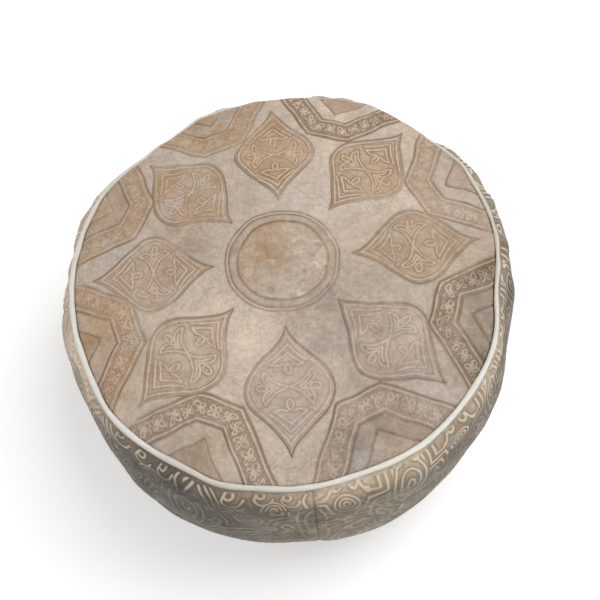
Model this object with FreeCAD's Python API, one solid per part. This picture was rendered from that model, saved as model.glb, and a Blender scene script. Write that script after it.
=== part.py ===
"""A round, stuffed leather pouf with a piped top edge and a zip across its base.

Leather sheets are drawn in section, as runs and bends of their finished face, and turned about +Z.
The origin is on the floor, under the middle of the pouf. +Z is up, and the zip runs along X.
Lengths are in millimetres and angles in degrees.
"""

import FreeCAD, Part
import math
import os

from FreeCAD import Vector

# Outer form of the stuffed pouf
PIPING_RADIUS = 240.0  # axis of the pouf to the middle of the piping
SEAM_HEIGHT = 268.0  # floor to the middle of the piping
BULGE = 30.0  # how far the belly stands out past the middle of the piping
BELLY_HEIGHT = 150.0  # floor to the widest place
FLOOR_INSET = 60.0  # belly back to the outer edge of the ring that stands on the floor
FLOOR_RING = 16.0  # width of that flat ring
BASE_ROLL = 12.0  # radius of the roll from the floor ring up to the base seam
BASE_RECESS = 12.0  # floor to the face of the base panels
EDGE_ROLL = 170.0  # radius of the top's falling edge, inside the piping

# Slopes of the outer form
CROWN_FALL = 4.0  # slope of the top where its crown passes into its edge
TOP_FALL = 15.0  # slope of the top where it meets the piping
SHOULDER_FALL = 35.0  # slope of the side where it meets the piping
SHOULDER_END = 70.0  # slope of the side below its shoulder
TUCK = 105.0  # slope of the side where its lower roll starts, past upright
SEAM_LEAN = 65.0  # lean of the sewn edges under the piping
BASE_SEAM_LEAN = 60.0  # lean of the sewn edges at the base

# Leather and seams
LEATHER = 1.4  # thickness of the top, side and base leather
FOLD_INSIDE = 0.6  # inside radius of a folded seam
TOP_ALLOWANCE = 12.0  # middle of the piping to the cut edges of the top seam
BASE_ALLOWANCE = 6.0  # sewn edge beyond the fold of the base seam
SIDE_ALLOWANCE = 8.0  # turned-back edge along each upright seam
SIDE_SEAM_ROUND = 0.9  # rounded leather edge along each upright seam
SIDE_PANELS = 4
FIRST_SEAM = 1.2  # direction of the first upright seam, from +X
SEAM_GAP = 0.1  # between leather faces that are sewn together

# Piping
CORD_RADIUS = 2.4
CORD_GAP = 0.05
PIPING_LEATHER = 0.8
PIPING_SLIT = 0.1  # between the two edges of the strip that wraps the cord

# Stuffing and its bag
BAG_CLOTH = 0.6
BAG_GAP = 0.3  # bag to the leather, and stuffing to the bag
BAG_TOP_RADIUS = 170.0  # where the bag's top leaves the top panel
BAG_FLOOR_RADIUS = 215.0  # flat bottom of the bag
BAG_SHOULDER_END = 60.0
BAG_TUCK = 110.0

# Zip
ZIP_CHAIN = 300.0  # first tooth to last tooth
TOOTH_PITCH = 4.2
TOOTH_WIDTH = 1.9
TOOTH_NECK = 1.3
TOOTH_ROOT = 2.6  # centre line of the zip to the back of a tooth
TOOTH_REACH = 0.8  # how far a tooth passes the centre line
TOOTH_HEIGHT = 3.0
TAPE_WIDTH = 15.0
TAPE = 0.7  # thickness of the tape
TAPE_END = 12.0  # tape beyond the last tooth
ZIP_GAP = 0.1  # tape to leather, and teeth to tape
SLOT_WIDTH = 14.0  # opening between the base panels
SLOT_END = 9.0  # opening beyond the last tooth
BASE_SPLIT = 0.2  # between the base panels beyond the zip
STOP_LENGTH = 2.4
STOP_WIDTH = 2.3
STOP_HEIGHT = 2.4
STOP_WAY = 1.9  # centre line of the zip to a top stop
STOP_AFTER = 1.8  # last tooth to the stops

# Slider and pull
SLIDER_LENGTH = 15.0
SLIDER_PLATE = 1.2
SLIDER_TAIL = 4.3  # half width where the closed chain leaves
SLIDER_MOUTH = 5.75  # half width at the mouth
SLIDER_MOUTH_LENGTH = 2.5
SLIDER_FLARE = 4.0  # length over which the tail widens to the mouth
SLIDER_RAIL = 1.15
SLIDER_ROUND = 0.8
SLIDER_GAP = 0.25  # teeth to the plates, and tape to the rails
NECK_LENGTH = 3.4
NECK_WIDTH = 3.0
NECK_AHEAD = 1.2  # last tooth to the tip of the neck
LUG_WIDTH = 1.2
LUG_RADIUS = 1.6
PIN_RADIUS = 0.8
PIN_DROP = 2.1  # plate to the middle of the pin
PIN_BACK = 1.0  # middle of the slider to the pin
PULL_EYE = 2.8  # width of the pull between the lugs
PULL_SIDE_GAP = 0.2
PULL_BORE_GAP = 0.1
PULL_LENGTH = 27.0
PULL_WIDTH = 7.0
PULL_THICKNESS = 1.6
PULL_SHANK = 3.0  # pin to the place where the pull widens
PULL_TAPER = 2.5
PULL_HOLE = 2.0

# Worked-out sizes
FOLD = FOLD_INSIDE + LEATHER
PIPING = CORD_RADIUS + CORD_GAP + PIPING_LEATHER
FLANGE = PIPING_LEATHER + PIPING_SLIT / 2
FOLD_SEAT = math.sqrt((PIPING + FOLD + SEAM_GAP) ** 2 - (FLANGE + SEAM_GAP + FOLD) ** 2)
TAPE_LOW = BASE_RECESS + LEATHER + ZIP_GAP
TAPE_MIDDLE = TAPE_LOW + TAPE / 2
TAPE_EDGE = TOOTH_ROOT + ZIP_GAP
TEETH = int(ZIP_CHAIN // TOOTH_PITCH)
LAST_TOOTH = ZIP_CHAIN / 2

UP = Vector(0, 0, 1)
ORIGIN = Vector(0, 0, 0)


def cosine(angle):
    return math.cos(math.radians(angle))


def sine(angle):
    return math.sin(math.radians(angle))


def step(heading, length, leftward=0.0):
    """The move made by going length along a heading, and leftward across it, as (r, z)."""
    return (
        length * cosine(heading) - leftward * sine(heading),
        length * sine(heading) + leftward * cosine(heading),
    )


def moved(place, by):
    return (place[0] + by[0], place[1] + by[1])


def point(place):
    return Vector(place[0], 0, place[1])


class Outline:
    """The finished face of a sheet in section: runs and bends drawn one after another.

    A bend's radius is that of the finished face, and a turn to the left is positive.
    """

    def __init__(self, start, heading):
        self.start = self.place = start
        self.first_heading = self.heading = heading
        self.steps = []

    def run(self, length):
        self.steps.append((length, 0.0, 0.0))
        self.place = moved(self.place, step(self.heading, length))
        return self

    def bend(self, radius, turn):
        self.steps.append((0.0, radius, turn))
        side = math.copysign(radius, turn)
        middle = moved(self.place, step(self.heading, 0.0, side))
        self.heading += turn
        self.place = moved(middle, step(self.heading, 0.0, -side))
        return self

    def bend_twice(self, end, between, last):
        """Two bends to end, through the heading between, whose radii bring them there."""
        first = bend_share(self.heading, between)
        second = bend_share(between, last)
        across, down = end[0] - self.place[0], end[1] - self.place[1]
        whole = first[0] * second[1] - first[1] * second[0]
        first_radius = (across * second[1] - down * second[0]) / whole
        second_radius = (first[0] * down - first[1] * across) / whole
        self.bend(first_radius, between - self.heading)
        return self.bend(second_radius, last - self.heading)

    def edges(self, flesh, depth):
        """Edges that run depth below the finished face. flesh is 1 where the sheet lies on the left, or -1."""
        place = moved(self.start, step(self.first_heading, 0.0, flesh * depth))
        heading = self.first_heading
        found = []
        for length, radius, turn in self.steps:
            if turn:
                toward = math.copysign(1.0, turn)
                true_radius = radius - depth * toward * flesh
                middle = moved(place, step(heading, 0.0, toward * true_radius))
                half = moved(middle, step(heading + turn / 2, 0.0, -toward * true_radius))
                heading += turn
                end = moved(middle, step(heading, 0.0, -toward * true_radius))
                found.append(Part.Arc(point(place), point(half), point(end)).toShape())
            else:
                end = moved(place, step(heading, length))
                found.append(Part.LineSegment(point(place), point(end)).toShape())
            place = end
        return found

    def wall(self, flesh, near, far):
        """The section between two depths below the finished face."""
        return closed_face(self.edges(flesh, near), self.edges(flesh, far))

    def part(self, first, last):
        """The steps from first up to last, as an outline of their own."""
        lead = Outline(self.start, self.first_heading)
        for length, radius, turn in self.steps[:first]:
            lead.bend(radius, turn) if turn else lead.run(length)
        piece = Outline(lead.place, lead.heading)
        for length, radius, turn in self.steps[first:last]:
            piece.bend(radius, turn) if turn else piece.run(length)
        return piece


def bend_share(heading, last):
    """How far a bend of radius 1 goes while it turns from one heading to another, as (r, z)."""
    toward = math.copysign(1.0, last - heading)
    return (toward * (sine(last) - sine(heading)), toward * (cosine(heading) - cosine(last)))


def closed_face(near, far):
    """A face between two rows of edges that run the same way."""
    ends = [
        Part.LineSegment(near[0].Vertexes[0].Point, far[0].Vertexes[0].Point).toShape(),
        Part.LineSegment(near[-1].Vertexes[-1].Point, far[-1].Vertexes[-1].Point).toShape(),
    ]
    return Part.Face(Part.Wire(Part.__sortEdges__(near + far + ends)))


def polygon(corners, height):
    """A flat-sided prism on (x, y) corners, from height[0] up to height[1]."""
    loop = [Vector(x, y, height[0]) for x, y in corners]
    face = Part.Face(Part.makePolygon(loop + loop[:1]))
    return face.extrude(Vector(0, 0, height[1] - height[0]))


def block(low, high):
    return Part.makeBox(high[0] - low[0], high[1] - low[1], high[2] - low[2], Vector(*low))


def round_upright_edges(solid, radius):
    """Rounds the edges that stand upright."""
    upright = [e for e in solid.Edges if abs(e.tangentAt(e.FirstParameter).z) > 0.999]
    return solid.makeFillet(radius, upright)


def at_piping(along, leftward):
    """A place beside the piping: along the sewn edges, upwards, and to the left of them."""
    return moved((PIPING_RADIUS, SEAM_HEIGHT), step(SEAM_LEAN, along, leftward))


def top_outline():
    """The top, from its cut edge up beside the piping, over the fold and in to the middle."""
    outline = Outline(at_piping(-TOP_ALLOWANCE, FLANGE + SEAM_GAP), SEAM_LEAN)
    outline.run(TOP_ALLOWANCE - FOLD_SEAT)
    outline.bend(FOLD, 180.0 - TOP_FALL - SEAM_LEAN)
    outline.bend(EDGE_ROLL, TOP_FALL - CROWN_FALL)
    return outline.bend(outline.place[0] / sine(CROWN_FALL), CROWN_FALL)


def side_outline():
    """The side, from its cut edge up beside the piping, down over the belly and in under the pouf."""
    outline = Outline(at_piping(-TOP_ALLOWANCE, -FLANGE - SEAM_GAP), SEAM_LEAN)
    belly = PIPING_RADIUS + BULGE
    outline.run(TOP_ALLOWANCE - FOLD_SEAT)
    outline.bend(FOLD, -SHOULDER_FALL - SEAM_LEAN)
    outline.bend_twice((belly, BELLY_HEIGHT), -SHOULDER_END, -90.0)
    outline.bend_twice((belly - FLOOR_INSET, 0.0), -TUCK, -180.0)
    outline.run(FLOOR_RING)
    outline.bend(BASE_ROLL, 2 * BASE_SEAM_LEAN - 180.0)
    fold_start = (
        BASE_RECESS
        - SEAM_GAP * cosine(BASE_SEAM_LEAN)
        + FOLD * (1 - 2 * cosine(BASE_SEAM_LEAN) + cosine(2 * BASE_SEAM_LEAN))
    )
    outline.run((fold_start - outline.place[1]) / sine(2 * BASE_SEAM_LEAN))
    outline.bend(FOLD, -BASE_SEAM_LEAN)
    return outline.run(BASE_ALLOWANCE)


def side_body(side):
    """The side's four wide bends, between the fold under the piping and the floor ring."""
    ring = side.steps.index((FLOOR_RING, 0.0, 0.0))
    return side.part(ring - 4, ring)


def base_outline(side):
    """The base, from its middle out to the fold, and up beside the side's sewn edge."""
    seam = moved(side.place, step(BASE_SEAM_LEAN, -BASE_ALLOWANCE, SEAM_GAP))
    outline = Outline((0.0, BASE_RECESS), 0.0)
    outline.run(seam[0] - FOLD * sine(BASE_SEAM_LEAN))
    outline.bend(FOLD, BASE_SEAM_LEAN)
    return outline.run(BASE_ALLOWANCE)


def bag_outline(top, side):
    """The stuffing's bag, from the middle of its top to the middle of its bottom."""
    crown = top.steps[-1][1] - LEATHER - BAG_GAP
    lean = math.degrees(math.asin(BAG_TOP_RADIUS / crown))
    outline = Outline((0.0, top.place[1] - LEATHER - BAG_GAP), 0.0)
    outline.bend(crown, -lean)
    belly = PIPING_RADIUS + BULGE - 2 * LEATHER - BAG_GAP
    outline.bend_twice((belly, BELLY_HEIGHT), -BAG_SHOULDER_END, -90.0)
    sewn_edge = side.place[1] + LEATHER * cosine(BASE_SEAM_LEAN)
    outline.bend_twice((BAG_FLOOR_RADIUS, sewn_edge + BAG_GAP), -BAG_TUCK, -180.0)
    return outline.run(BAG_FLOOR_RADIUS)


def turn_about_axis(face, angle=360.0, start=0.0):
    solid = face.revolve(ORIGIN, UP, angle)
    solid.rotate(ORIGIN, UP, start)
    return solid


def side_panel(side, start):
    """A side panel between two upright seams, with its edges turned back inside along them."""
    belly = PIPING_RADIUS + BULGE
    gap = math.degrees(SEAM_GAP / belly)
    span = 360.0 / SIDE_PANELS - gap
    hem = math.degrees(SIDE_ALLOWANCE / belly)
    panel = turn_about_axis(side.wall(-1, 0.0, LEATHER), span)
    ends = [e for e in panel.Edges if lies_on_seam(e, span) and e.Length > FLOOR_RING / 2]
    finished = [e for e in ends if on_outline(e, side)]
    panel = panel.makeFillet(SIDE_SEAM_ROUND, finished)
    strip = side_body(side).wall(-1, LEATHER, 2 * LEATHER)
    for hem_start in (0.0, span - hem):
        panel = panel.fuse(turn_about_axis(strip, hem, hem_start))
    panel.rotate(ORIGIN, UP, start + gap / 2)
    return panel.removeSplitter()


def lies_on_seam(edge, span):
    """True if an edge lies in the plane at either end of a panel."""
    ends = [v.Point for v in edge.Vertexes]
    middle = edge.valueAt((edge.FirstParameter + edge.LastParameter) / 2)
    for angle in (0.0, span):
        across = Vector(-sine(angle), cosine(angle), 0)
        if all(abs(p.dot(across)) < 1e-6 for p in ends + [middle]):
            return True
    return False


def on_outline(edge, side):
    """True if an edge at a panel's end follows the finished face of the side's body."""
    middle = edge.valueAt((edge.FirstParameter + edge.LastParameter) / 2)
    place = Part.Vertex(Vector(math.hypot(middle.x, middle.y), 0, middle.z))
    return min(place.distToShape(e)[0] for e in side_body(side).edges(-1, 0.0)) < 1e-6


def top_piping():
    """A leather strip wrapped round the cord, with both edges sewn into the seam."""
    bore = CORD_RADIUS + CORD_GAP
    slit = PIPING_SLIT / 2
    outer = piping_loop(PIPING, FLANGE)
    inner = piping_loop(bore, slit)
    ends = [
        Part.LineSegment(point(at_piping(-TOP_ALLOWANCE, s * FLANGE)), point(at_piping(-TOP_ALLOWANCE, s * slit)))
        for s in (-1, 1)
    ]
    edges = outer + inner + [e.toShape() for e in ends]
    return turn_about_axis(Part.Face(Part.Wire(Part.__sortEdges__(edges))))


def piping_loop(radius, half):
    """The line from one cut edge up, round a circle about the cord, and down to the other cut edge."""
    foot = -math.sqrt(radius**2 - half**2)
    flank = radius * math.sqrt(0.5)
    loop = []
    for side in (-1, 1):
        low = point(at_piping(-TOP_ALLOWANCE, side * half))
        meet = point(at_piping(foot, side * half))
        around = point(at_piping(flank, side * flank))
        crest = point(at_piping(radius, 0.0))
        loop.append(Part.LineSegment(low, meet).toShape())
        loop.append(Part.Arc(meet, around, crest).toShape())
    return loop


def piping_cord():
    return Part.makeTorus(PIPING_RADIUS, CORD_RADIUS, Vector(0, 0, SEAM_HEIGHT))


def base_panel(base, side):
    """Half of the base, on the +Y side or the -Y side of the zip."""
    disc = turn_about_axis(base.wall(1, 0.0, LEATHER))
    reach = PIPING_RADIUS + BULGE
    slot = LAST_TOOTH + SLOT_END
    half = block((-reach, BASE_SPLIT / 2, 0), (reach, reach, SEAM_HEIGHT))
    half = half.cut(block((-slot, -SLOT_WIDTH / 2, 0), (slot, SLOT_WIDTH / 2, SEAM_HEIGHT)))
    panel = disc.common(half)
    return panel if side > 0 else mirrored(panel)


def mirrored(shape):
    """The shape's mirror image across the zip."""
    return shape.mirror(ORIGIN, Vector(0, 1, 0))


def zip_tape():
    reach = LAST_TOOTH + TAPE_END
    return block((-reach, TAPE_EDGE, TAPE_LOW), (reach, TAPE_EDGE + TAPE_WIDTH, TAPE_LOW + TAPE))


def zip_tooth(x):
    """A tooth of the +Y row, with a waist that the other row's heads lock behind."""
    wide, neck = TOOTH_WIDTH / 2, TOOTH_NECK / 2
    shoulder = TOOTH_ROOT * 0.6
    waist = TOOTH_ROOT * 0.35
    profile = [(wide, TOOTH_ROOT), (wide, shoulder), (neck, waist), (wide, 0.0), (neck, -TOOTH_REACH)]
    corners = profile + [(-across, y) for across, y in reversed(profile)]
    low = TAPE_MIDDLE - TOOTH_HEIGHT / 2
    return polygon([(x + across, y) for across, y in corners], (low, low + TOOTH_HEIGHT))


def zip_teeth(shift):
    """A row of teeth, shifted along the zip by a share of the pitch."""
    start = LAST_TOOTH - (TEETH - 1 + shift) * TOOTH_PITCH
    return Part.makeCompound([zip_tooth(start + i * TOOTH_PITCH) for i in range(TEETH)])


def tape_clip(start, length, inner, outer):
    """A block that grips the edge of the +Y tape."""
    low = TAPE_MIDDLE - STOP_HEIGHT / 2
    clip = block((start, inner, low), (start + length, outer, low + STOP_HEIGHT))
    slot_low = TAPE_LOW - ZIP_GAP / 2
    slot = block(
        (start - length, TAPE_EDGE - ZIP_GAP, slot_low),
        (start + 2 * length, outer + STOP_WIDTH, slot_low + TAPE + ZIP_GAP),
    )
    return clip.cut(slot)


def zip_top_stops():
    clip = tape_clip(LAST_TOOTH + STOP_AFTER, STOP_LENGTH, STOP_WAY, STOP_WAY + STOP_WIDTH)
    return Part.makeCompound([clip, mirrored(clip)])


def bottom_stop_start():
    first = LAST_TOOTH - (TEETH - 0.5) * TOOTH_PITCH
    return first - STOP_AFTER - STOP_LENGTH


def zip_bottom_stop():
    clip = tape_clip(bottom_stop_start(), STOP_LENGTH, 0.0, STOP_WAY + STOP_WIDTH)
    return clip.fuse(mirrored(clip)).removeSplitter()


def slider_middle():
    """Where the middle of the slider is along the zip when the zip is closed."""
    return LAST_TOOTH + NECK_AHEAD + NECK_LENGTH + SLIDER_ROUND - SLIDER_LENGTH / 2


def slider_corners(inset):
    """The slider in plan about its middle, or its inside where the rails are inset."""
    tail, mouth = SLIDER_TAIL - inset, SLIDER_MOUTH - inset
    front = SLIDER_LENGTH / 2
    flare_end = front - SLIDER_MOUTH_LENGTH
    flare_start = flare_end - SLIDER_FLARE
    right = [(-front, tail), (flare_start, tail), (flare_end, mouth), (front, mouth)]
    return right + [(x, -y) for x, y in reversed(right)]


def slider_heights():
    """Heights of the lower plate, lower rails, upper rails and upper plate."""
    teeth_low = TAPE_MIDDLE - TOOTH_HEIGHT / 2 - SLIDER_GAP
    teeth_high = TAPE_MIDDLE + TOOTH_HEIGHT / 2 + SLIDER_GAP
    return (
        (teeth_low - SLIDER_PLATE, teeth_low),
        (teeth_low, TAPE_LOW - SLIDER_GAP),
        (TAPE_LOW + TAPE + SLIDER_GAP, teeth_high),
        (teeth_high, teeth_high + SLIDER_PLATE),
    )


def pin_place():
    """The middle of the pull's pin, as (x, z)."""
    return (slider_middle() - PIN_BACK, slider_heights()[0][0] - PIN_DROP)


def zip_slider():
    """Two plates held apart by a neck, with rails that keep the teeth in and lugs for the pull."""
    lower, lower_rail, upper_rail, upper = slider_heights()
    body = round_upright_edges(polygon(slider_corners(0.0), lower), SLIDER_ROUND)
    body = body.fuse(round_upright_edges(polygon(slider_corners(0.0), upper), SLIDER_ROUND))
    for rail in (lower_rail, upper_rail):
        rails = round_upright_edges(polygon(slider_corners(0.0), rail), SLIDER_ROUND)
        body = body.fuse(rails.cut(polygon(slider_corners(SLIDER_RAIL), rail)))
    front = SLIDER_LENGTH / 2 - SLIDER_ROUND
    tip, half = front - NECK_LENGTH, NECK_WIDTH / 2
    neck = [(tip, 0.0), (tip + half, half), (front, half), (front, -half), (tip + half, -half)]
    body = body.fuse(polygon(neck, (lower[0], upper[1])))
    body.translate(Vector(slider_middle(), 0, 0))
    return body.fuse(slider_lugs(lower[1])).removeSplitter()


def slider_lugs(plate_top):
    """Two lugs under the slider and the pin between them."""
    x, z = pin_place()
    inner = PULL_EYE / 2 + PULL_SIDE_GAP
    outer = inner + LUG_WIDTH
    across = Vector(0, 1, 0)
    lugs = Part.makeCylinder(PIN_RADIUS, 2 * outer, Vector(x, -outer, z), across)
    for start in (inner, -outer):
        eye = Part.makeCylinder(LUG_RADIUS, LUG_WIDTH, Vector(x, start, z), across)
        post = block((x - LUG_RADIUS, start, z), (x + LUG_RADIUS, start + LUG_WIDTH, plate_top))
        lugs = lugs.fuse(eye.fuse(post))
    return lugs


def zip_pull():
    """A flat pull with an eye round the slider's pin, lying along the zip."""
    x, z = pin_place()
    across = Vector(0, 1, 0)
    eye, wide = PULL_EYE / 2, PULL_WIDTH / 2
    barrel = Part.makeCylinder(LUG_RADIUS, PULL_EYE, Vector(x, -eye, z), across)
    tip = PULL_LENGTH - wide
    widened = PULL_SHANK + PULL_TAPER
    half = [(0.0, eye), (-PULL_SHANK, eye), (-widened, wide), (-tip, wide)]
    corners = half + [(along, -y) for along, y in reversed(half)]
    thick = (z - PULL_THICKNESS / 2, z + PULL_THICKNESS / 2)
    pull = polygon([(x + along, y) for along, y in corners], thick)
    end = Vector(x - tip, 0, thick[0])
    pull = pull.fuse(Part.makeCylinder(wide, PULL_THICKNESS, end, UP)).fuse(barrel)
    bore = Part.makeCylinder(PIN_RADIUS + PULL_BORE_GAP, PULL_EYE, Vector(x, -eye, z), across)
    return pull.cut(bore).cut(Part.makeCylinder(PULL_HOLE, PULL_THICKNESS, end, UP)).removeSplitter()


def pieces():
    """Every piece of the pouf by name."""
    top, side = top_outline(), side_outline()
    base, bag = base_outline(side), bag_outline(top, side)
    made = {
        "top_panel": turn_about_axis(top.wall(1, 0.0, LEATHER)),
        "top_piping": top_piping(),
        "piping_cord": piping_cord(),
    }
    for number in range(SIDE_PANELS):
        start = FIRST_SEAM + number * 360.0 / SIDE_PANELS
        made[f"side_panel_{number + 1}"] = side_panel(side, start)
    made["base_panel_rear"] = base_panel(base, 1)
    made["base_panel_front"] = base_panel(base, -1)
    made["zip_tape_rear"] = zip_tape()
    made["zip_tape_front"] = mirrored(zip_tape())
    made["zip_teeth_rear"] = zip_teeth(0.0)
    made["zip_teeth_front"] = mirrored(zip_teeth(0.5))
    made["zip_top_stops"] = zip_top_stops()
    made["zip_bottom_stop"] = zip_bottom_stop()
    made["zip_slider"] = zip_slider()
    made["zip_pull"] = zip_pull()
    made["inner_bag"] = turn_about_axis(bag.wall(-1, 0.0, BAG_CLOTH))
    made["stuffing"] = turn_about_axis(filled(bag.edges(-1, BAG_CLOTH + BAG_GAP)))
    return made


def filled(edges):
    """A face between a row of edges and the axis."""
    first, last = edges[0].Vertexes[0].Point, edges[-1].Vertexes[-1].Point
    axis = Part.LineSegment(last, first).toShape()
    return Part.Face(Part.Wire(Part.__sortEdges__(edges + [axis])))


os.makedirs("parts", exist_ok=True)
for name, shape in pieces().items():
    shape.exportStep(f"parts/{name}.step")
    print(f"{name}: {len(shape.Solids)} solids, {shape.Volume / 1000:.2f} cm3, valid {shape.isValid()}")
travel = slider_middle() - SLIDER_LENGTH / 2 - bottom_stop_start() - STOP_LENGTH - SLIDER_GAP
print("slider travel", round(travel, 3), "pin", [round(v, 3) for v in pin_place()])
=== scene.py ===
"""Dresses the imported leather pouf: its tooled top, piping, embossed side, base, zip and filling.

Shapes are worked out in millimetres as whole arrays and go into the meshes in metres.
The origin is on the floor under the middle of the pouf, +Z is up and the front is -Y.
Lists of directions hold (degrees, value) pairs, with 0 degrees at +X and 90 at the rear.
"""

import functools
import math
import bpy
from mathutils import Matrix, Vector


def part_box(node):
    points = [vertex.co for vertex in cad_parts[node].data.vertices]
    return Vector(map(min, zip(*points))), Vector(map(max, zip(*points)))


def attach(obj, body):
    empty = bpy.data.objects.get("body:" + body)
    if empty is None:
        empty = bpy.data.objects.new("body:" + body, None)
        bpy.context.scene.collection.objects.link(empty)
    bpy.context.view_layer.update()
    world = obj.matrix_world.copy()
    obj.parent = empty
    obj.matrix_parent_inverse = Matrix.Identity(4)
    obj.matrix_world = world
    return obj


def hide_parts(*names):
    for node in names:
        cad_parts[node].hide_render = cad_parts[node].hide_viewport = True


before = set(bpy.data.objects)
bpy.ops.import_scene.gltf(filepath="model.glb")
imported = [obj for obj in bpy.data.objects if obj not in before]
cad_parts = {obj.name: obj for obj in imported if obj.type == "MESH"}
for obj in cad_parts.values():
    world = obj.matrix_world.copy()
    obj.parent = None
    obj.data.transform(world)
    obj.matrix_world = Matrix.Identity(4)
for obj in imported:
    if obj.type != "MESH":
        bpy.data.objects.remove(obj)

import types

import bpy
import numpy as np
from bpy.props import FloatProperty, FloatVectorProperty, IntProperty, PointerProperty
from mathutils import Matrix, Vector

bl_info = {
    "name": "Leather pouf",
    "version": (1, 0, 0),
    "blender": (4, 5, 0),
    "location": "View3D > Sidebar > Pouf",
    "description": "Tooled top, piping, embossed side, base, zip and filling of a leather pouf",
    "category": "Object",
}

MM = 0.001
TURN = 2 * math.pi
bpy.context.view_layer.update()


def box_mm(node):
    """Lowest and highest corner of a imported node, in millimetres."""
    low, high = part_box(node)
    return np.array(low) / MM, np.array(high) / MM


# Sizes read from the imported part, in millimetres
CORD_LOW, CORD_HIGH = box_mm("piping_cord")
CORD_RADIUS = (CORD_HIGH[2] - CORD_LOW[2]) / 2
SEAM_HEIGHT = (CORD_HIGH[2] + CORD_LOW[2]) / 2
SEAM_RADIUS = CORD_HIGH[0] - CORD_RADIUS
PIPING = box_mm("top_piping")[1][0] - SEAM_RADIUS
TOP_HEIGHT = box_mm("top_panel")[1][2]
BELLY = box_mm("side_panel_1")[1][1]
BASE_LOW, BASE_HIGH = box_mm("base_panel_rear")
TAPE_LOW, TAPE_HIGH = box_mm("zip_tape_rear")
BAG_LOW, BAG_HIGH = box_mm("inner_bag")
STUFFING_LOW, STUFFING_HIGH = box_mm("stuffing")

LEATHER = 1.4
FLESH = 2.2  # how much further in the plain flesh side lies away from the edges
FAR = 60.0  # stands for the distance to a line that is nowhere near
LIST_SOFTNESS = 7.0  # degrees over which the rows of a list of directions are averaged


# Settings


def srgb(red, green, blue):
    """A colour written in 0 to 255 as linear values."""
    level = np.array((red, green, blue)) / 255
    linear = np.where(level < 0.04045, level / 12.92, ((level + 0.055) / 1.055) ** 2.4)
    return tuple(float(v) for v in linear)


def length(name, description, default):
    """A size in metres, from a default in millimetres."""
    return FloatProperty(name=name, description=description, default=default * MM, unit="LENGTH",
                         precision=4)


def colour(name, description, default):
    """A colour, from a default in 0 to 255."""
    return FloatVectorProperty(name=name, description=description, default=srgb(*default), subtype="COLOR",
                               min=0.0, max=1.0)


def whole(name, description, default):
    """A whole number."""
    return IntProperty(name=name, description=description, default=default)


class PoufForm(bpy.types.PropertyGroup):
    """Sizes of the stuffed form."""

    belly_height: length("Belly height", "Floor to the widest place", 150)
    floor_inset: length("Floor inset", "Belly back to the ring that stands on the floor", 60)
    floor_ring: length("Floor ring", "Width of the ring that stands on the floor", 16)
    base_roll: length("Base roll", "Radius of the roll up to the base seam", 12)
    top_slack: length("Top slack", "Height of the soft swells of the top", 1.0)
    side_slack: length("Side slack", "Height of the soft swells of the side", 2.2)
    pucker: length("Pucker", "Depth of the small folds along the seams", 0.8)


class PoufTooling(bpy.types.PropertyGroup):
    """Sizes of the tooling on the top."""

    disc: length("Disc", "Radius of the groove round the middle disc", 50)
    ring_inner: length("Inner ring", "Radius of the inner groove of the double ring", 59)
    ring_outer: length("Outer ring", "Radius of the outer groove of the double ring", 63)
    petal_inner: length("Petal start", "Middle of the pattern to a petal's inner tip", 79)
    petal_outer: length("Petal end", "Middle of the pattern to a petal's outer tip", 220)
    petal_half: length("Petal half width", "Half the width of a petal", 47)
    petal_inset: length("Petal border", "Petal outline to the raised line inside it", 4)
    band_half: length("Band half length", "Half the length of a band's inner side", 26)
    band_width: length("Band width", "Width of a band", 29)
    band_border: length("Band border", "Band outline to the raised line inside it", 3.2)
    triangle: length("Triangle", "Middle of the pattern to the triangles", 212)
    flower_pitch: length("Flower pitch", "From flower to flower along a band", 15.4)
    groove_depth: length("Groove depth", "Depth of the pressed outlines", 0.8)
    line_height: length("Line height", "Height of the raised lines", 0.55)


class PoufEmboss(bpy.types.PropertyGroup):
    """Sizes of the embossing on the side."""

    repeat: length("Repeat", "From one leaf to the next along the side", 141)
    row: length("Row", "From one row of leaves to the next", 86)
    height: length("Line height", "Height of the raised lines", 0.55)


class PoufColours(bpy.types.PropertyGroup):
    """Colours of the leathers, threads and metal."""

    pale: colour("Pale leather", "Field of the top", (197, 180, 163))
    grey: colour("Greyed leather", "Dull dyed leather", (182, 164, 148))
    tan: colour("Tan leather", "Warm dyed leather", (178, 148, 115))
    groove: colour("Grooves", "Burnished bottom of the pressed outlines", (112, 91, 72))
    line: colour("Raised lines", "Rubbed raised lines", (219, 202, 178))
    stain: colour("Stains", "Bluish grey bloom on the leather", (184, 178, 174))
    spot: colour("Spots", "Grey spots on the middle disc", (150, 136, 124))
    # side near the piping goes over into side_low below: partly rubbed and darker leather, partly painted
    # light on the shoulder and painted shade lower down
    side: colour("Side leather", "Side near the piping", (186, 168, 146))
    side_low: colour("Side leather below", "Side below its shoulder", (103, 91, 71))
    side_line: colour("Side lines", "Rubbed lines of the embossing", (224, 205, 181))
    piping: colour("Piping", "Leather of the piping", (224, 221, 213))
    base: colour("Base leather", "Plain leather of the base", (150, 128, 104))
    thread: colour("Thread", "Waxed sewing thread", (226, 214, 190))
    tape: colour("Zip tape", "Woven zip tape", (120, 104, 84))
    brass: colour("Brass", "Zip teeth, slider and pull", (186, 152, 92))
    cotton: colour("Cotton", "Inner bag", (226, 220, 206))
    stuffing: colour("Stuffing", "Fibre filling", (238, 236, 230))
    floor: colour("Floor", "Studio floor", (236, 236, 236))


class PoufDetail(bpy.types.PropertyGroup):
    """How finely the pieces are divided."""

    top_grid: whole("Top grid", "Points along each side of the top's grid", 480)
    side_rows: whole("Side rows", "Points down a side panel", 260)
    side_columns: whole("Side columns", "Points along a side panel", 330)
    piping_steps: whole("Piping steps", "Points along the piping", 720)


def setting_names(group):
    """Names of the settings in a group."""
    return [key for key in group.bl_rna.properties.keys() if key not in ("rna_type", "name")]


def millimetres(group):
    """Sizes of a group in millimetres, by name."""
    return types.SimpleNamespace(**{name: getattr(group, name) / MM for name in setting_names(group)})


# Numbers and lines


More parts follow.
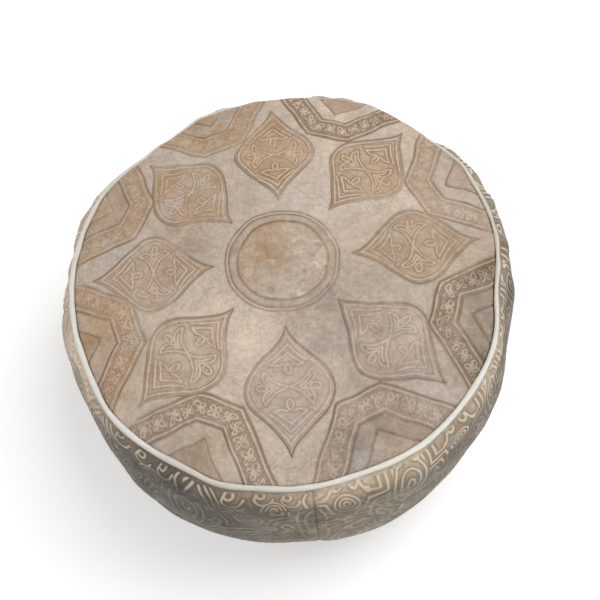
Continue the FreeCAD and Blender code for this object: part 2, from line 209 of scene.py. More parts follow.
def smooth(value, low, high):
    """Smooth step from 0 at low to 1 at high: 3t^2 - 2t^3 of the clipped share t."""
    share = np.clip((value - low) / (high - low), 0.0, 1.0)
    return share * share * (3.0 - 2.0 * share)


def bell(value, width):
    """Bell curve exp(-(value / width)^2)."""
    return np.exp(-((value / width) ** 2))


def nearest(distances):
    """Least of several distances, point by point."""
    return np.minimum.reduce(list(distances))


def swell(points, wavelength, seed, count=14):
    """Soft random swell of about unit height: a sum of plane sine waves in seeded directions."""
    draw = np.random.default_rng(seed)
    total = np.zeros(points.shape[:-1])
    for _ in range(count):
        direction = draw.normal(size=3)
        direction *= TURN / (wavelength * draw.uniform(0.7, 1.5) * np.linalg.norm(direction))
        total += np.sin(points @ direction + draw.uniform(0, TURN))
    return total * math.sqrt(2 / count)


def swells(points, rows):
    """Sum of soft swells, each given as height, wavelength and seed."""
    return sum(height * swell(points, wavelength, seed) for height, wavelength, seed in rows)


def wander(points, reach, wavelength, seed):
    """Two soft swells, which carry points aside by about reach."""
    return [reach * swell(points, wavelength, seed + i) for i in range(2)]


def ripples(angle, rows):
    """Sum of waves round the pouf, each height sin(count a + start + sway sin(slow a))."""
    return sum(height * np.sin(count * angle + start + sway * np.sin(slow * angle))
               for height, count, start, sway, slow in rows)


def stray(angle, table, softness=LIST_SOFTNESS):
    """Value of a closed list of (degrees, value) at angle: straight between its rows, then averaged."""
    degrees, values = np.array(table, float).T
    every = np.arange(360.0)
    straight = np.interp(every, degrees, values, period=360.0)
    window = bell(np.minimum(every, 360.0 - every), softness)
    soft = np.real(np.fft.ifft(np.fft.fft(straight) * np.fft.fft(window / window.sum())))
    return np.interp(np.degrees(angle) % 360.0, every, soft, period=360.0)


def polar(radius, angle, height):
    """Points at radius and angle about the axis, at height."""
    return np.stack(np.broadcast_arrays(radius * np.cos(angle), radius * np.sin(angle), height), -1)


def line_distance(a, b, line):
    """Distance of points (a, b) from a line through corners: the least distance from its pieces."""
    best = np.full(a.shape, FAR)
    line = np.asarray(line, float)
    for (x0, y0), (x1, y1) in zip(line[:-1], line[1:]):
        across, up = x1 - x0, y1 - y0
        share = np.clip(((a - x0) * across + (b - y0) * up) / (across**2 + up**2), 0.0, 1.0)
        best = np.minimum(best, np.hypot(a - x0 - share * across, b - y0 - share * up))
    return best


def ring_distance(a, b, middle, radius):
    """Distance of points (a, b) from a circle's line."""
    return np.abs(np.hypot(a - middle[0], b - middle[1]) - radius)


def ellipse_distance(a, b, middle, half):
    """About the distance from an ellipse's line: the share of its radius less 1, over the share's slope."""
    x, y = a - middle[0], b - middle[1]
    share = np.hypot(x / half[0], y / half[1])
    slope = np.hypot(x / half[0] ** 2, y / half[1] ** 2) / np.maximum(share, 1e-6)
    return np.abs(share - 1.0) / np.maximum(slope, 1.0 / max(half))


def curve_through(points, parts=5):
    """A smooth line through points: each span is the cubic whose ends aim along the neighbours' chords."""
    points = np.asarray(points, float)
    ends = np.concatenate([2 * points[:1] - points[1:2], points, 2 * points[-1:] - points[-2:-1]])
    t = np.linspace(0, 1, parts, endpoint=False)[None, :, None]
    p0, p1, p2, p3 = (ends[i:len(ends) - 3 + i, None, :] for i in range(4))
    spans = p1 + t * (p2 - p0) / 2 + t**2 * (p0 - 2.5 * p1 + 2 * p2 - p3 / 2)
    spans = spans + t**3 * (1.5 * (p1 - p2) + (p3 - p0) / 2)
    return np.concatenate([spans.reshape(-1, 2), points[-1:]])


def grid_value(grid, row, angle):
    """Value of a closed grid at a row and an angle: cubic between four rows and four columns."""
    rows, turns = grid.shape
    column = angle / TURN * turns
    first_row, first_column = np.floor(row).astype(int), np.floor(column).astype(int)

    def weights(t):
        """Shares of four neighbours at t of the way between the middle two."""
        near = (t * (t * (2 - t) - 1), t * t * (3 * t - 5) + 2, t * (t * (4 - 3 * t) + 1), t * t * (t - 1))
        return [w / 2 for w in near]

    total = np.zeros(np.broadcast(row, angle).shape)
    down, across = weights(row - first_row), weights(column - first_column)
    for i, share in enumerate(down):
        line = np.clip(first_row + i - 1, 0, rows - 1)
        for j, part in enumerate(across):
            total += share * part * grid[line, (first_column + j - 1) % turns]
    return total


# Meshes


NO_TRIANGLES = np.zeros((0, 3), int)
BACK_RINGS = (1.0, 0.97, 0.85, 0.65, 0.4, 0.15)  # shares of a sheet's border at which its back has rings
DISTANCES = ("groove", "line", "fall", "seam")  # attributes that are far off on the back


def make_mesh(name, points, quads, triangles, fields):
    """A smooth mesh from points in millimetres, corner numbers of its faces, and point attributes."""
    mesh = bpy.data.meshes.new(name)
    corners = np.concatenate([quads.ravel(), triangles.ravel()]).astype(np.int32)
    quad_starts = np.arange(len(quads)) * 4
    triangle_starts = len(quads) * 4 + np.arange(len(triangles)) * 3
    starts = np.concatenate([quad_starts, triangle_starts]).astype(np.int32)
    mesh.vertices.add(len(points))
    mesh.vertices.foreach_set("co", (points * MM).astype(np.float32).ravel())
    mesh.loops.add(len(corners))
    mesh.loops.foreach_set("vertex_index", corners)
    mesh.polygons.add(len(starts))
    mesh.polygons.foreach_set("loop_start", starts)
    mesh.polygons.foreach_set("use_smooth", np.ones(len(starts), bool))
    mesh.update(calc_edges=True)
    for field, values in fields.items():
        layer = mesh.attributes.new(field, "FLOAT", "POINT")
        layer.data.foreach_set("value", values.astype(np.float32).ravel())
    if mesh.validate():
        raise RuntimeError(f"{name}: its faces don't fit together")
    return mesh


def grid_quads(rows, columns, around=False):
    """Quads of a grid numbered row by row; with around, the last column joins the first."""
    column = np.arange(columns if around else columns - 1)
    row = np.arange(rows - 1)[:, None] * columns
    right = (column + 1) % columns
    corners = [row + column, row + right, row + columns + right, row + columns + column]
    return np.stack(corners, -1).reshape(-1, 4)


def grid_border(rows, columns):
    """Point numbers round the border of a grid, anticlockwise."""
    bottom = np.arange(columns - 1)
    right = np.arange(rows - 1) * columns + columns - 1
    top = rows * columns - 1 - np.arange(columns - 1)
    left = np.arange(rows - 1, 0, -1) * columns
    return np.concatenate([bottom, right, top, left])


def fan(first, second, pole):
    """Triangles with a corner from each of two rows of point numbers, and one point more."""
    return np.stack([first, second, np.full(len(first), pole)], -1)


def sheet_mesh(name, surface, rows, columns):
    """A closed sheet of leather or cloth over the square from -1 to 1.

    surface(u, v, back) gives points and attributes: the finished face on a fine grid, or the flesh side,
    which closes the sheet with rings that shrink from the border to the middle.
    """
    u, v = np.meshgrid(np.linspace(-1, 1, columns), np.linspace(-1, 1, rows))
    points, fields = surface(u, v, False)
    border = grid_border(rows, columns)
    edge_u, edge_v = u.ravel()[border], v.ravel()[border]
    rings = [surface(edge_u * share, edge_v * share, True)[0] for share in BACK_RINGS]
    middle = surface(np.zeros(1), np.zeros(1), True)[0]
    count, turn = rows * columns, len(border)
    numbers = [border] + [count + turn * i + np.arange(turn) for i in range(len(rings))]
    quads = [grid_quads(rows, columns)]
    for outer, inner in zip(numbers[:-1], numbers[1:]):
        quads.append(np.stack([np.roll(outer, -1), outer, inner, np.roll(inner, -1)], -1))
    hidden = turn * len(rings) + 1
    middle_fan = fan(np.roll(numbers[-1], -1), numbers[-1], count + hidden - 1)
    plain = {key: np.full(hidden, FAR if key in DISTANCES else 0.0) for key in fields}
    fields = {key: np.concatenate([values.ravel(), plain[key]]) for key, values in fields.items()}
    points = np.concatenate([points.reshape(-1, 3)] + rings + [middle])
    return make_mesh(name, points, np.concatenate(quads), middle_fan, fields)


def tube_mesh(name, path, along, across, sides, fields=None):
    """A closed tube: a row of ring points path + along cos + across sin for each place of a closed path."""
    turn = np.linspace(0, TURN, sides, endpoint=False)[:, None]
    points = path[:, None] + along[:, None] * np.cos(turn) + across[:, None] * np.sin(turn)
    quads = grid_quads(len(path), sides, around=True)
    first = np.arange(sides)
    last = (len(path) - 1) * sides + first
    joint = np.stack([last, np.roll(last, -1), np.roll(first, -1), first], -1)
    return make_mesh(name, points.reshape(-1, 3), np.concatenate([quads, joint]), NO_TRIANGLES, fields or {})


def rings_mesh(name, rings, top, bottom):
    """A closed form: rings of points about the axis from the top down, and poles at the two heights."""
    rows, turns = rings.shape[:2]
    first, count = np.arange(turns), rows * turns
    last = first + count - turns
    fans = [fan(first, np.roll(first, -1), count), fan(np.roll(last, -1), last, count + 1)]
    quads = grid_quads(rows, turns, around=True)[:, ::-1]
    points = np.concatenate([rings.reshape(-1, 3), [(0, 0, top), (0, 0, bottom)]])
    return make_mesh(name, points, quads, np.concatenate(fans), {})


def add_piece(mesh, material, replaced=()):
    """Puts a mesh in the scene as a piece of the pouf."""
    mesh.materials.append(material)
    piece = bpy.data.objects.new(mesh.name, mesh)
    bpy.context.scene.collection.objects.link(piece)
    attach(piece, "pouf")
    if replaced:
        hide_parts(*replaced)
    return piece


# Finishes


BLACK, WHITE = (0.0, 0.0, 0.0), (1.0, 1.0, 1.0)
# What browned, dull, deep and darkened leather, and the side's dark blotches, are multiplied by
# The dull, deep and side casts also make painted shade beside the top's grooves and in the hollows beside
# the raised lines
BROWN_CAST, DULL_AND_SHADE_CAST, DEEP_CAST = (0.90, 0.74, 0.56), (0.76, 0.72, 0.68), (0.62, 0.54, 0.47)
DARKENED_CAST, SIDE_CAST = (0.72, 0.66, 0.58), (0.62, 0.60, 0.56)
DARKENING_DEPTH = 0.15  # share of the tone that a darkening of strength 1 takes away: darker dye and dirt, and painted shade
RAGGED = 50.0  # how far up and down the lower end of the side's light leather strays
# Fine mottling: scale of its noise, darkest and lightest
TOP_MOTTLE = ((70.0, 0.89, 1.07), (190.0, 0.87, 1.09), (560.0, 0.94, 1.05))
SIDE_MOTTLE = ((80.0, 0.84, 1.1), (210.0, 0.78, 1.16), (600.0, 0.88, 1.08))
MOTTLE_SPAN = (0.32, 0.68)


class Nodes:
    """A node tree that is put together node by node."""

    def __init__(self, tree):
        self.tree = tree

    def put(self, socket, value):
        """Links an output to a socket, or sets the socket to a value."""
        if isinstance(value, bpy.types.NodeSocket):
            self.tree.links.new(value, socket)
        elif socket.type == "RGBA":
            socket.default_value = (*value[:3], 1.0)
        else:
            socket.default_value = value

    def node(self, kind, inputs=None, **settings):
        """A node with its settings made, and its inputs linked or set."""
        made = self.tree.nodes.new(kind)
        for key, value in settings.items():
            setattr(made, key, value)
        for key, value in (inputs or {}).items():
            self.put(made.inputs[key], value)
        return made

    def math(self, operation, a, b=0.0):
        """One value worked out from one or two others."""
        return self.node("ShaderNodeMath", {0: a, 1: b}, operation=operation).outputs["Value"]

    def times(self, *values):
        """Product of several values."""
        return functools.reduce(functools.partial(self.math, "MULTIPLY"), values)

    def remap(self, value, span, to=(0.0, 1.0)):
        """Smooth step from one value of to over to the other, while value goes through span."""
        inputs = {"Value": value, "From Min": span[0], "From Max": span[1], "To Min": to[0], "To Max": to[1]}
        return self.node("ShaderNodeMapRange", inputs, interpolation_type="SMOOTHSTEP").outputs["Result"]

    def seen(self):
        """1 for what the camera sees, straight, in a reflection or through glass, and 0 for other rays."""
        path = self.node("ShaderNodeLightPath")
        rays = [path.outputs[f"Is {ray} Ray"] for ray in ("Camera", "Glossy", "Transmission")]
        return functools.reduce(functools.partial(self.math, "MAXIMUM"), rays)


class Finish(Nodes):
    """A material whose tone is laid on coat by coat."""

    def __init__(self, name, tone):
        self.material = bpy.data.materials.new(name)
        self.material.use_nodes = True
        super().__init__(self.material.node_tree)
        self.place = self.node("ShaderNodeTexCoord").outputs["Object"]
        self.tone = tone

    def field(self, name):
        """Value of a mesh attribute."""
        return self.node("ShaderNodeAttribute", attribute_name=name).outputs["Fac"]

    def stretched(self, scale):
        """Coordinates that are scaled along each axis."""
        return self.node("ShaderNodeMapping", {"Vector": self.place, "Scale": scale}).outputs["Vector"]

    def wandering(self, scale, amount):
        """Coordinates that noise shifts by up to amount millimetres."""
        noise = self.node("ShaderNodeTexNoise", {"Vector": self.place, "Scale": scale}).outputs["Color"]
        inputs = {0: noise, 1: (amount * MM,) * 3, 2: self.place}
        return self.node("ShaderNodeVectorMath", inputs, operation="MULTIPLY_ADD").outputs["Vector"]

    def noise(self, scale, detail=3.0, roughness=0.55, place=None):
        """Soft noise from 0 to 1, at about scale features to the metre."""
        inputs = {"Vector": place or self.place, "Scale": scale, "Detail": detail, "Roughness": roughness}
        return self.node("ShaderNodeTexNoise", inputs).outputs["Fac"]

    def cloud(self, scale, span, to=(0.0, 1.0), detail=3.0, roughness=0.55):
        """Noise, remapped."""
        return self.remap(self.noise(scale, detail, roughness), span, to)

    def cells(self, scale, place=None, feature="F1"):
        """Distance from the middles, or the edges, of random cells, scale of them to the metre."""
        inputs = {"Vector": place or self.place, "Scale": scale}
        return self.node("ShaderNodeTexVoronoi", inputs, feature=feature).outputs["Distance"]

    def waves(self, scale, direction, distortion):
        """Bands of waves along one axis, bent by noise."""
        inputs = {"Vector": self.place, "Scale": scale, "Distortion": distortion}
        return self.node("ShaderNodeTexWave", inputs, bands_direction=direction).outputs["Fac"]

    def mix(self, share, a, b, blend="MIX"):
        """Two colours mixed by a share, each a value or an output."""
        made = self.node("ShaderNodeMix", data_type="RGBA", blend_type=blend)
        for socket, value in ((0, share), (6, a), (7, b)):
            self.put(made.inputs[socket], value)
        return made.outputs[2]

    def coat(self, share, tone):
        """Lays another tone over this one by a share."""
        self.tone = self.mix(share, self.tone, tone)

    def tinted(self, cast):
        """The tone times a colour or a value."""
        return self.mix(1.0, self.tone, cast, "MULTIPLY")

    def mottle(self, rows):
        """Varies the tone by noise, given as scale, darkest and lightest."""
        for scale, low, high in rows:
            self.tone = self.tinted(self.cloud(scale, MOTTLE_SPAN, (low, high), 4.0, 0.7))

    def bump(self, height, strength, distance, below=None):
        """Relief of a height whose full range stands distance millimetres high."""
        inputs = {"Height": height, "Strength": strength, "Distance": distance * MM}
        if below is not None:
            inputs["Normal"] = below
        return self.node("ShaderNodeBump", inputs).outputs["Normal"]

    def done(self, **sockets):
        """The material, with its tone and other values put on its shader."""
        shader = self.tree.nodes["Principled BSDF"]
        for key, value in {"base_color": self.tone, **sockets}.items():
            self.put(shader.inputs[key.replace("_", " ").title().replace("Ior", "IOR")], value)
        return self.material


def shaded(tone, share):
    """A colour made darker, or lighter up to white."""
    return tuple(min(1.0, v * share) for v in tone)


def leather_grain(finish, scale, strength):
    """Bump of fine pebbles, pores and slow unevenness."""
    rough = finish.bump(finish.noise(60.0, 4.0), strength * 0.8, 1.2)
    rough = finish.bump(finish.noise(scale * 2.4, 2.0), strength * 0.5, 0.25, rough)
    return finish.bump(finish.cells(scale), strength, 0.35, rough)


def top_leather(colours):
    """Hand-dyed, tooled leather: tan figures, burnished grooves, rubbed lines, stains and creases, with
    painted shade beside the grooves and raised lines and in darker patches.
    """
    finish = Finish("tooled_leather", colours.pale)
    times, remap, cloud, coat = finish.times, finish.remap, finish.cloud, finish.coat
    groove, line, spotted = (finish.field(name) for name in ("groove", "line", "spotted"))
    # Dye, browner patches, darker patches of dye, dirt and painted shade, stains and spots
    dye = finish.noise(30.0, 5.0, 0.65)
    dyed = times(finish.field("dyed"), remap(dye, (0.35, 0.7), (0.75, 1.0)))
    coat(dyed, finish.mix(finish.field("warmth"), colours.grey, colours.tan))
    patchy = cloud(26.0, (0.3, 0.7), (0.5, 1.4), 5.0, 0.7)
    coat(times(finish.field("browned"), patchy), finish.tinted(BROWN_CAST))
    # Darker dye of the regions, and patches of dirt and painted shade of soft folds; patches below 0 are
    # lighter, partly painted light
    shadow = times(finish.field("darkening_and_shade"), patchy, DARKENING_DEPTH)
    finish.tone = finish.tinted(finish.math("SUBTRACT", 1.0, shadow))
    darker = finish.tinted(DULL_AND_SHADE_CAST)
    coat(cloud(9.0, (0.45, 0.72), (0.0, 0.6), 4.0, 0.6), darker)
    coat(cloud(17.0, (0.5, 0.7), (0.0, 0.55), 6.0, 0.7), colours.stain)
    coat(times(cloud(75.0, (0.55, 0.64), (0.0, 0.7), 3.0, 0.5), spotted), colours.spot)
    coat(times(cloud(52.0, (0.54, 0.66), (0.0, 0.75), 4.0, 0.6), spotted), colours.line)
    finish.mottle(TOP_MOTTLE)
    # Creases, stippled grounds, painted shade in the hollows beside the lines and beside the grooves,
    # burnished grooves, rubbed lines and veins
    deep = finish.tinted(DEEP_CAST)
    bend = finish.math("ABSOLUTE", finish.math("SUBTRACT", finish.noise(13.0, 3.0, 0.6), 0.5))
    coat(times(remap(bend, (0.0, 0.010), (0.4, 0.0)), cloud(7.0, (0.5, 0.62), detail=2.0)), deep)
    clear = times(finish.field("clear"), cloud(16.0, (0.32, 0.62), (0.5, 1.0)))
    coat(times(cloud(330.0, (0.42, 0.62), (0.0, 0.6), 3.0, 0.7), finish.field("stippled")), deep)
    # Painted shade in the hollows beside the raised lines
    coat(times(remap(line, (0.8, 1.6)), remap(line, (2.2, 3.8), (0.85, 0.0)), clear), deep)
    uneven = cloud(15.0, (0.32, 0.62), (0.25, 1.0), 4.0)
    # Painted shade: a soft shadow just beside each groove
    coat(times(remap(groove, (1.0, 3.8), (0.24, 0.0)), uneven), darker)
    coat(times(remap(groove, (0.3, 1.45), (0.85, 0.0)), uneven), colours.groove)
    worn = cloud(140.0, (0.3, 0.6), (0.3, 0.95), 4.0)
    coat(times(remap(line, (0.35, 1.2), (0.9, 0.0)), worn, clear), colours.line)
    vein = remap(finish.cells(210.0, feature="DISTANCE_TO_EDGE"), (0.0, 0.09), (0.42, 0.0))
    coat(times(vein, cloud(22.0, (0.4, 0.58))), deep)
    normal = finish.bump(remap(groove, (0.2, 2.2)), 0.6, 0.7, leather_grain(finish, 520.0, 0.4))
    ridge = times(remap(line, (0.2, 1.7), (1.0, 0.0)), clear)
    normal = finish.bump(ridge, 0.8, 0.6, normal)
    return finish.done(roughness=remap(dye, (0.3, 0.75), (0.52, 0.72)), normal=normal)


def side_leather(colours):
    """Embossed leather: rubbed lines near the piping, darker and duller below, and lighter and darker round
    the pouf; both changes are partly the leather's own tone and partly painted light and shade.
    """
    finish = Finish("side_leather", colours.side)
    times, remap, cloud, coat = finish.times, finish.remap, finish.cloud, finish.coat
    line, fall, shade = (finish.field(name) for name in ("line", "fall", "shade"))
    light = finish.tinted(shade)
    blotch = finish.noise(22.0, 5.0, 0.65)
    uneven = finish.math("SUBTRACT", finish.noise(14.0, 4.0), 0.5)
    ragged = finish.math("ADD", fall, times(uneven, RAGGED))
    # Lighter near the piping, darker below: partly rubbed leather, partly painted light on the shoulder and
    # painted shade lower down
    coat(remap(ragged, (8.0, 44.0)), colours.side_low)
    # Times the shade attribute: the panel's own tone, with painted light and shade round the pouf
    finish.tone = finish.tinted(shade)
    darker = finish.tinted(SIDE_CAST)
    coat(remap(blotch, (0.4, 0.72), (0.0, 0.6)), darker)
    finish.mottle(SIDE_MOTTLE)
    # Swirls of the hide, painted shade in the hollows beside the lines, rubbed lines and dark seams
    dull = remap(ragged, (20.0, 54.0), (1.0, 0.22))
    worn = times(cloud(34.0, (0.3, 0.62), (0.65, 1.0), 4.0), dull)
    swirl = finish.math("PINGPONG", times(finish.noise(24.0, 2.0, 0.5), 9.0), 0.5)
    swirl = times(remap(swirl, (0.05, 0.3), (1.0, 0.0)), remap(ragged, (14.0, 50.0), (0.1, 0.4)))
    coat(times(swirl, cloud(60.0, (0.35, 0.6))), light)
    # Painted shade in the hollows beside the raised lines
    coat(times(remap(line, (1.4, 2.3)), remap(line, (3.0, 5.2), (0.95, 0.0)), dull), darker)
    coat(times(remap(line, (0.7, 1.9), (0.85, 0.0)), worn), colours.side_line)
    coat(remap(finish.field("seam"), (0.3, 2.0), (0.5, 0.0)), darker)
    ridge = times(remap(line, (0.3, 2.2), (1.0, 0.0)), remap(fall, (30.0, 80.0), (1.0, 0.5)))
    normal = finish.bump(swirl, 0.7, 0.6, leather_grain(finish, 480.0, 0.45))
    normal = finish.bump(ridge, 0.8, 0.7, normal)
    return finish.done(roughness=remap(blotch, (0.3, 0.75), (0.45, 0.68)), normal=normal)


def plain_leather(name, tone, grain):
    """Undecorated leather with soft blotches, scuffs, fine creases and grain."""
    finish = Finish(name, shaded(tone, 1.08))
    darker = shaded(tone, 0.72)
    blotch = finish.noise(26.0, 5.0, 0.6)
    finish.coat(finish.remap(blotch, (0.38, 0.7)), tone)
    finish.coat(finish.cloud(200.0, (0.52, 0.8), (0.0, 0.55), 3.0, 0.7), darker)
    crease = finish.cells(grain, finish.wandering(grain * 0.7, 4.0), "DISTANCE_TO_EDGE")
    crease = finish.remap(crease, (0.0, 0.12), (1.0, 0.0))
    crease = finish.times(crease, finish.cloud(18.0, (0.42, 0.6), (0.05, 0.35)))
    finish.coat(crease, darker)
    finish.coat(finish.field("darkened"), finish.tinted(DARKENED_CAST))
    flat = finish.remap(crease, (0.0, 0.35), (1.0, 0.0))
    normal = finish.bump(flat, 0.25, 0.3, leather_grain(finish, grain, 0.4))
    return finish.done(roughness=finish.remap(blotch, (0.3, 0.75), (0.5, 0.66)), normal=normal)


def woven_cloth(name, tone, count, roughness):
    """Plain weave: two crossing sets of waves, count threads to the metre, with uneven yarn."""
    dark = shaded(tone, 0.62)
    finish = Finish(name, dark)
    weave = finish.times(*(finish.waves(count / 20, direction, 0.6) for direction in "XY"))
    finish.coat(finish.remap(weave, (0.0, 0.6)), tone)
    finish.coat(finish.cloud(220.0, (0.5, 0.8), (0.0, 0.4)), dark)
    return finish.done(roughness=roughness, normal=finish.bump(weave, 0.6, 0.25), sheen_weight=0.25)


def aged_brass(tone):
    """Brass that is dull in places, with fine scratches along the zip."""
    finish = Finish("zip_brass", tone)
    finish.coat(finish.cloud(300.0, (0.4, 0.7), detail=4.0), shaded(tone, 0.55))
    scratch = finish.noise(900.0, 2.0, 0.5, finish.stretched((0.06, 1.0, 1.0)))
    rough = finish.remap(scratch, (0.35, 0.7), (0.24, 0.46))
    return finish.done(roughness=rough, normal=finish.bump(scratch, 0.25, 0.05), metallic=1.0)


def loose_fibre(tone):
    """Matted white fibre with soft tangles."""
    finish = Finish("stuffing_fibre", shaded(tone, 0.78))
    tangle = finish.noise(90.0, 8.0, 0.75)
    finish.coat(finish.remap(tangle, (0.35, 0.7)), tone)
    return finish.done(roughness=0.95, normal=finish.bump(tangle, 0.9, 4.0), sheen_weight=0.4)


def studio_floor(tone):
    """Pale floor that takes a soft shadow near the pouf and goes over into the white of the background."""
    finish = Finish("studio_floor", tone)
    away = finish.node("ShaderNodeVectorMath", {0: finish.place}, operation="LENGTH").outputs["Value"]
    seen = finish.seen()
    finish.coat(finish.times(seen, finish.remap(away, (0.6, 2.2))), BLACK)
    glow = finish.times(seen, finish.remap(away, (0.4, 2.2), (0.35, 1.0)))
    return finish.done(roughness=0.9, specular_ior_level=0.0, emission_color=WHITE, emission_strength=glow)


# Piping


# How the sewn piping strays outwards from its circle
PIPING_SWAY = (
    (6, -1), (20, 2), (28, 7), (40, 2), (48, 4), (57, 10), (64, 12), (78, 5), (88, 2), (112, 2),
    (119, -6), (133, -8), (147, 2), (161, 0), (182, -2), (205, -3), (217, 3), (242, 0), (249, 6),
    (257, 2), (272, 2), (282, -1), (299, 2), (314, -1), (332, -2), (346, -12),
)
# Its thickness, as a share of the imported piping's, and how much darker it is, from 0 to 1
PIPING_PLUMP = (
    (0, 0.72), (30, 0.66), (120, 0.72), (150, 0.82), (200, 0.92), (270, 0.88), (320, 0.88), (345, 0.76),
)
PIPING_DARKENING = (
    (0, 0.7), (40, 0.6), (100, 0.6), (160, 0.5), (185, 0.1), (225, 0.05), (250, 0.7), (268, 0.15),
    (300, 0), (335, 0.1), (346, 0.6),
)
# Where the plump top hangs over the piping, from 0 to 1
OVERHANG = (
    (0, 0.2), (22, 0.2), (45, 0.9), (57, 0.95), (66, 0.7), (92, 1.0), (106, 0.5), (126, 0.8),
    (136, 0.4), (150, 0.1), (185, 0), (340, 0),
)
# Waves of the piping's height and of its thickness round the pouf, as ripples takes them
SEAM_WAVES = ((0.8, 3, 0.7, 0, 0), (0.6, 8, 2.0, 0, 0), (0.6, 27, 0, 2.0, 5), (0.4, 43, 0, 1.0, 6))
PIPING_UNEVEN = ((0.06, 31, 0, 2.0, 4), (0.05, 19, 0, 3.0, 7))
SEAM_SOFTNESS = 4.5  # degrees over which its stray is averaged
PIPING_SINK = 4.5  # how far it sinks under a full overhang
PIPING_SIDES, FILLER_SIDES = 20, 10


def seam_radius(angle):
    """Distance of the middle of the piping from the axis: its circle and how it strays."""
    return SEAM_RADIUS + stray(angle, PIPING_SWAY, SEAM_SOFTNESS)


def seam_height(angle):
    """Height of the middle of the piping: its level, lower under the overhang, with waves round the edge."""
    return SEAM_HEIGHT - PIPING_SINK * stray(angle, OVERHANG) + ripples(angle, SEAM_WAVES)


def piping_path(count):
    """Points along the middle of the piping, and the directions outwards and upwards there."""
    angle = np.linspace(0, TURN, count, endpoint=False)
    path = polar(seam_radius(angle), angle, seam_height(angle))
    ahead = np.roll(path, -1, 0) - np.roll(path, 1, 0)
    ahead /= np.linalg.norm(ahead, axis=1, keepdims=True)
    outward = np.cross(ahead, (0.0, 0.0, 1.0))
    outward /= np.linalg.norm(outward, axis=1, keepdims=True)
    return angle, path, outward, np.cross(outward, ahead)


class POUF_OT_piping(bpy.types.Operator):
    """Carries the piping and the cord in it round the top edge"""

    bl_idname = "pouf.piping"
    bl_label = "Piping"

    def execute(self, context):
        colours = context.scene.pouf_colours
        angle, path, outward, upward = piping_path(context.scene.pouf_detail.piping_steps)
        plump = PIPING * (stray(angle, PIPING_PLUMP) + ripples(angle, PIPING_UNEVEN))[:, None]
        fields = {"darkened": np.repeat(stray(angle, PIPING_DARKENING), PIPING_SIDES)}
        mesh = tube_mesh("piping_strip", path, outward * plump, -upward * plump, PIPING_SIDES, fields)
        material = plain_leather("piping_leather", colours.piping, grain=620.0)
        add_piece(mesh, material, ["top_piping"])
        core = plump * CORD_RADIUS / PIPING
        mesh = tube_mesh("piping_filler", path, outward * core, -upward * core, FILLER_SIDES)
        cotton = woven_cloth("cord_cotton", colours.cotton, count=900.0, roughness=0.9)
        add_piece(mesh, cotton, ["piping_cord"])
        return {"FINISHED"}


# Top


# Middle of the tooled pattern, which is a little off the middle of the pouf
PATTERN_X, PATTERN_Y = -2.8, 5.7
# The petals as they were cut by hand: turn in degrees, inner and outer tip in millimetres, how warm they
# were dyed, how clear their carving still is, and how much darker they are, on the scale of the patches
PETALS = np.array([
    (0.8, 78, 218, 0.65, 0.7, 0.3),
    (0.3, 82, 224, 0.75, 1.0, -0.1),
    (-1.0, 77, 214, 0.95, 0.95, -0.05),
    (-0.5, 75, 211, 0.8, 0.5, 0.2),
    (0.0, 76, 211, 0.45, 0.7, 0.05),
    (-2.3, 79, 219, 0.28, 1.0, -0.15),
    (-2.0, 80, 218, 0.08, 0.5, -0.1),
    (-0.8, 78, 220, 0.12, 0.5, 0.6),
])
# The bands between them: turn in degrees, where they begin in millimetres, how warm, how clear, how much
# darker they, their triangles and the gaps beside these are, and how much dye the gaps took
BANDS = np.array([
    (-0.6, 171, 0.45, 0.45, 0.1, 0.7, 0.5, 0.1),
    (0.0, 174, 0.75, 0.85, 0.95, 0.3, -0.8, 0.0),
    (-3.0, 170, 0.85, 0.4, 0.0, 0.3, 0.6, 0.5),
    (-3.0, 168, 0.75, 0.35, 0.1, -1.2, 0.6, 0.5),
    (-4.0, 168, 0.7, 0.45, -0.2, 0.1, -0.1, 0.3),
    (-4.0, 169, 0.22, 0.85, 0.6, 0.8, 0.6, 0.1),
    (-1.0, 172, 0.22, 0.45, 0.9, 0.7, 1.5, 0.6),
    (-1.0, 170, 0.45, 0.75, 1.7, 2.2, 2.1, 0.75),
])
FIGURES = len(PETALS)
STEP = 360.0 / FIGURES
BAND_DYED, TRIANGLE_DYED = 0.95, 0.9  # how much dye these took, from 0 to 1
# How much darker the field between them is
FIELD_GROUND = (
    (22, -0.1), (67, -0.3), (112, 0.5), (157, 0.6), (202, 0.3), (247, -0.4), (292, 1.2), (337, 1.3),
)
# Looks of the middle: the ring round the disc, then the disc's shady side, and what its sunny side adds
MIDDLE = {"dyed": (0.6, 0.25, 0.75), "warmth": (0.6, 0.3, 0.65), "ground": (0.7, 0.4, 0.0)}
DISC_SPOTTED = (1.0, -0.6)
DISC_SUN = (0.75, -0.66, 22.0)  # direction from the sunny side to the shady one, and softness

# Patches on the top, partly dirt and partly painted shade and light of its soft folds: place, radius, and
# how much darker, or lighter where it is below 0
DIRT_AND_SHADE_PATCHES = (
    (184, -107, 32, 1.7), (207, -23, 26, 1.0), (54, -199, 48, 1.2), (214, 122, 26, 0.9),
    (115, 188, 24, 0.8), (-199, 100, 28, 0.9), (-100, 46, 42, 0.9), (-23, 15, 26, 0.5),
    (-138, -168, 30, 0.7), (38, -54, 22, 0.6), (46, -96, 26, 0.9), (-78, -48, 24, -0.9),
    (-38, -100, 30, -0.8), (84, 15, 28, -0.5), (100, 153, 26, -0.7), (-100, -61, 32, -0.5),
    (168, 50, 20, -0.5), (130, -92, 20, -0.6), (38, -138, 22, -0.4), (69, 210, 18, -0.6),
    (-60, 105, 26, -0.3),
)
# Where the dye is browner: place, radius and strength
BROWNED = (
    (-23, 15, 26, 0.65), (-61, 210, 30, 0.7), (-207, -50, 28, 0.6), (-199, 100, 26, 0.6),
    (-115, 60, 36, 0.4), (205, -20, 24, 0.5), (-175, -110, 28, 0.4), (10, -60, 14, 0.5),
    (150, 140, 40, 0.2), (-95, -205, 22, 0.5), (93, -200, 22, 0.3),
)
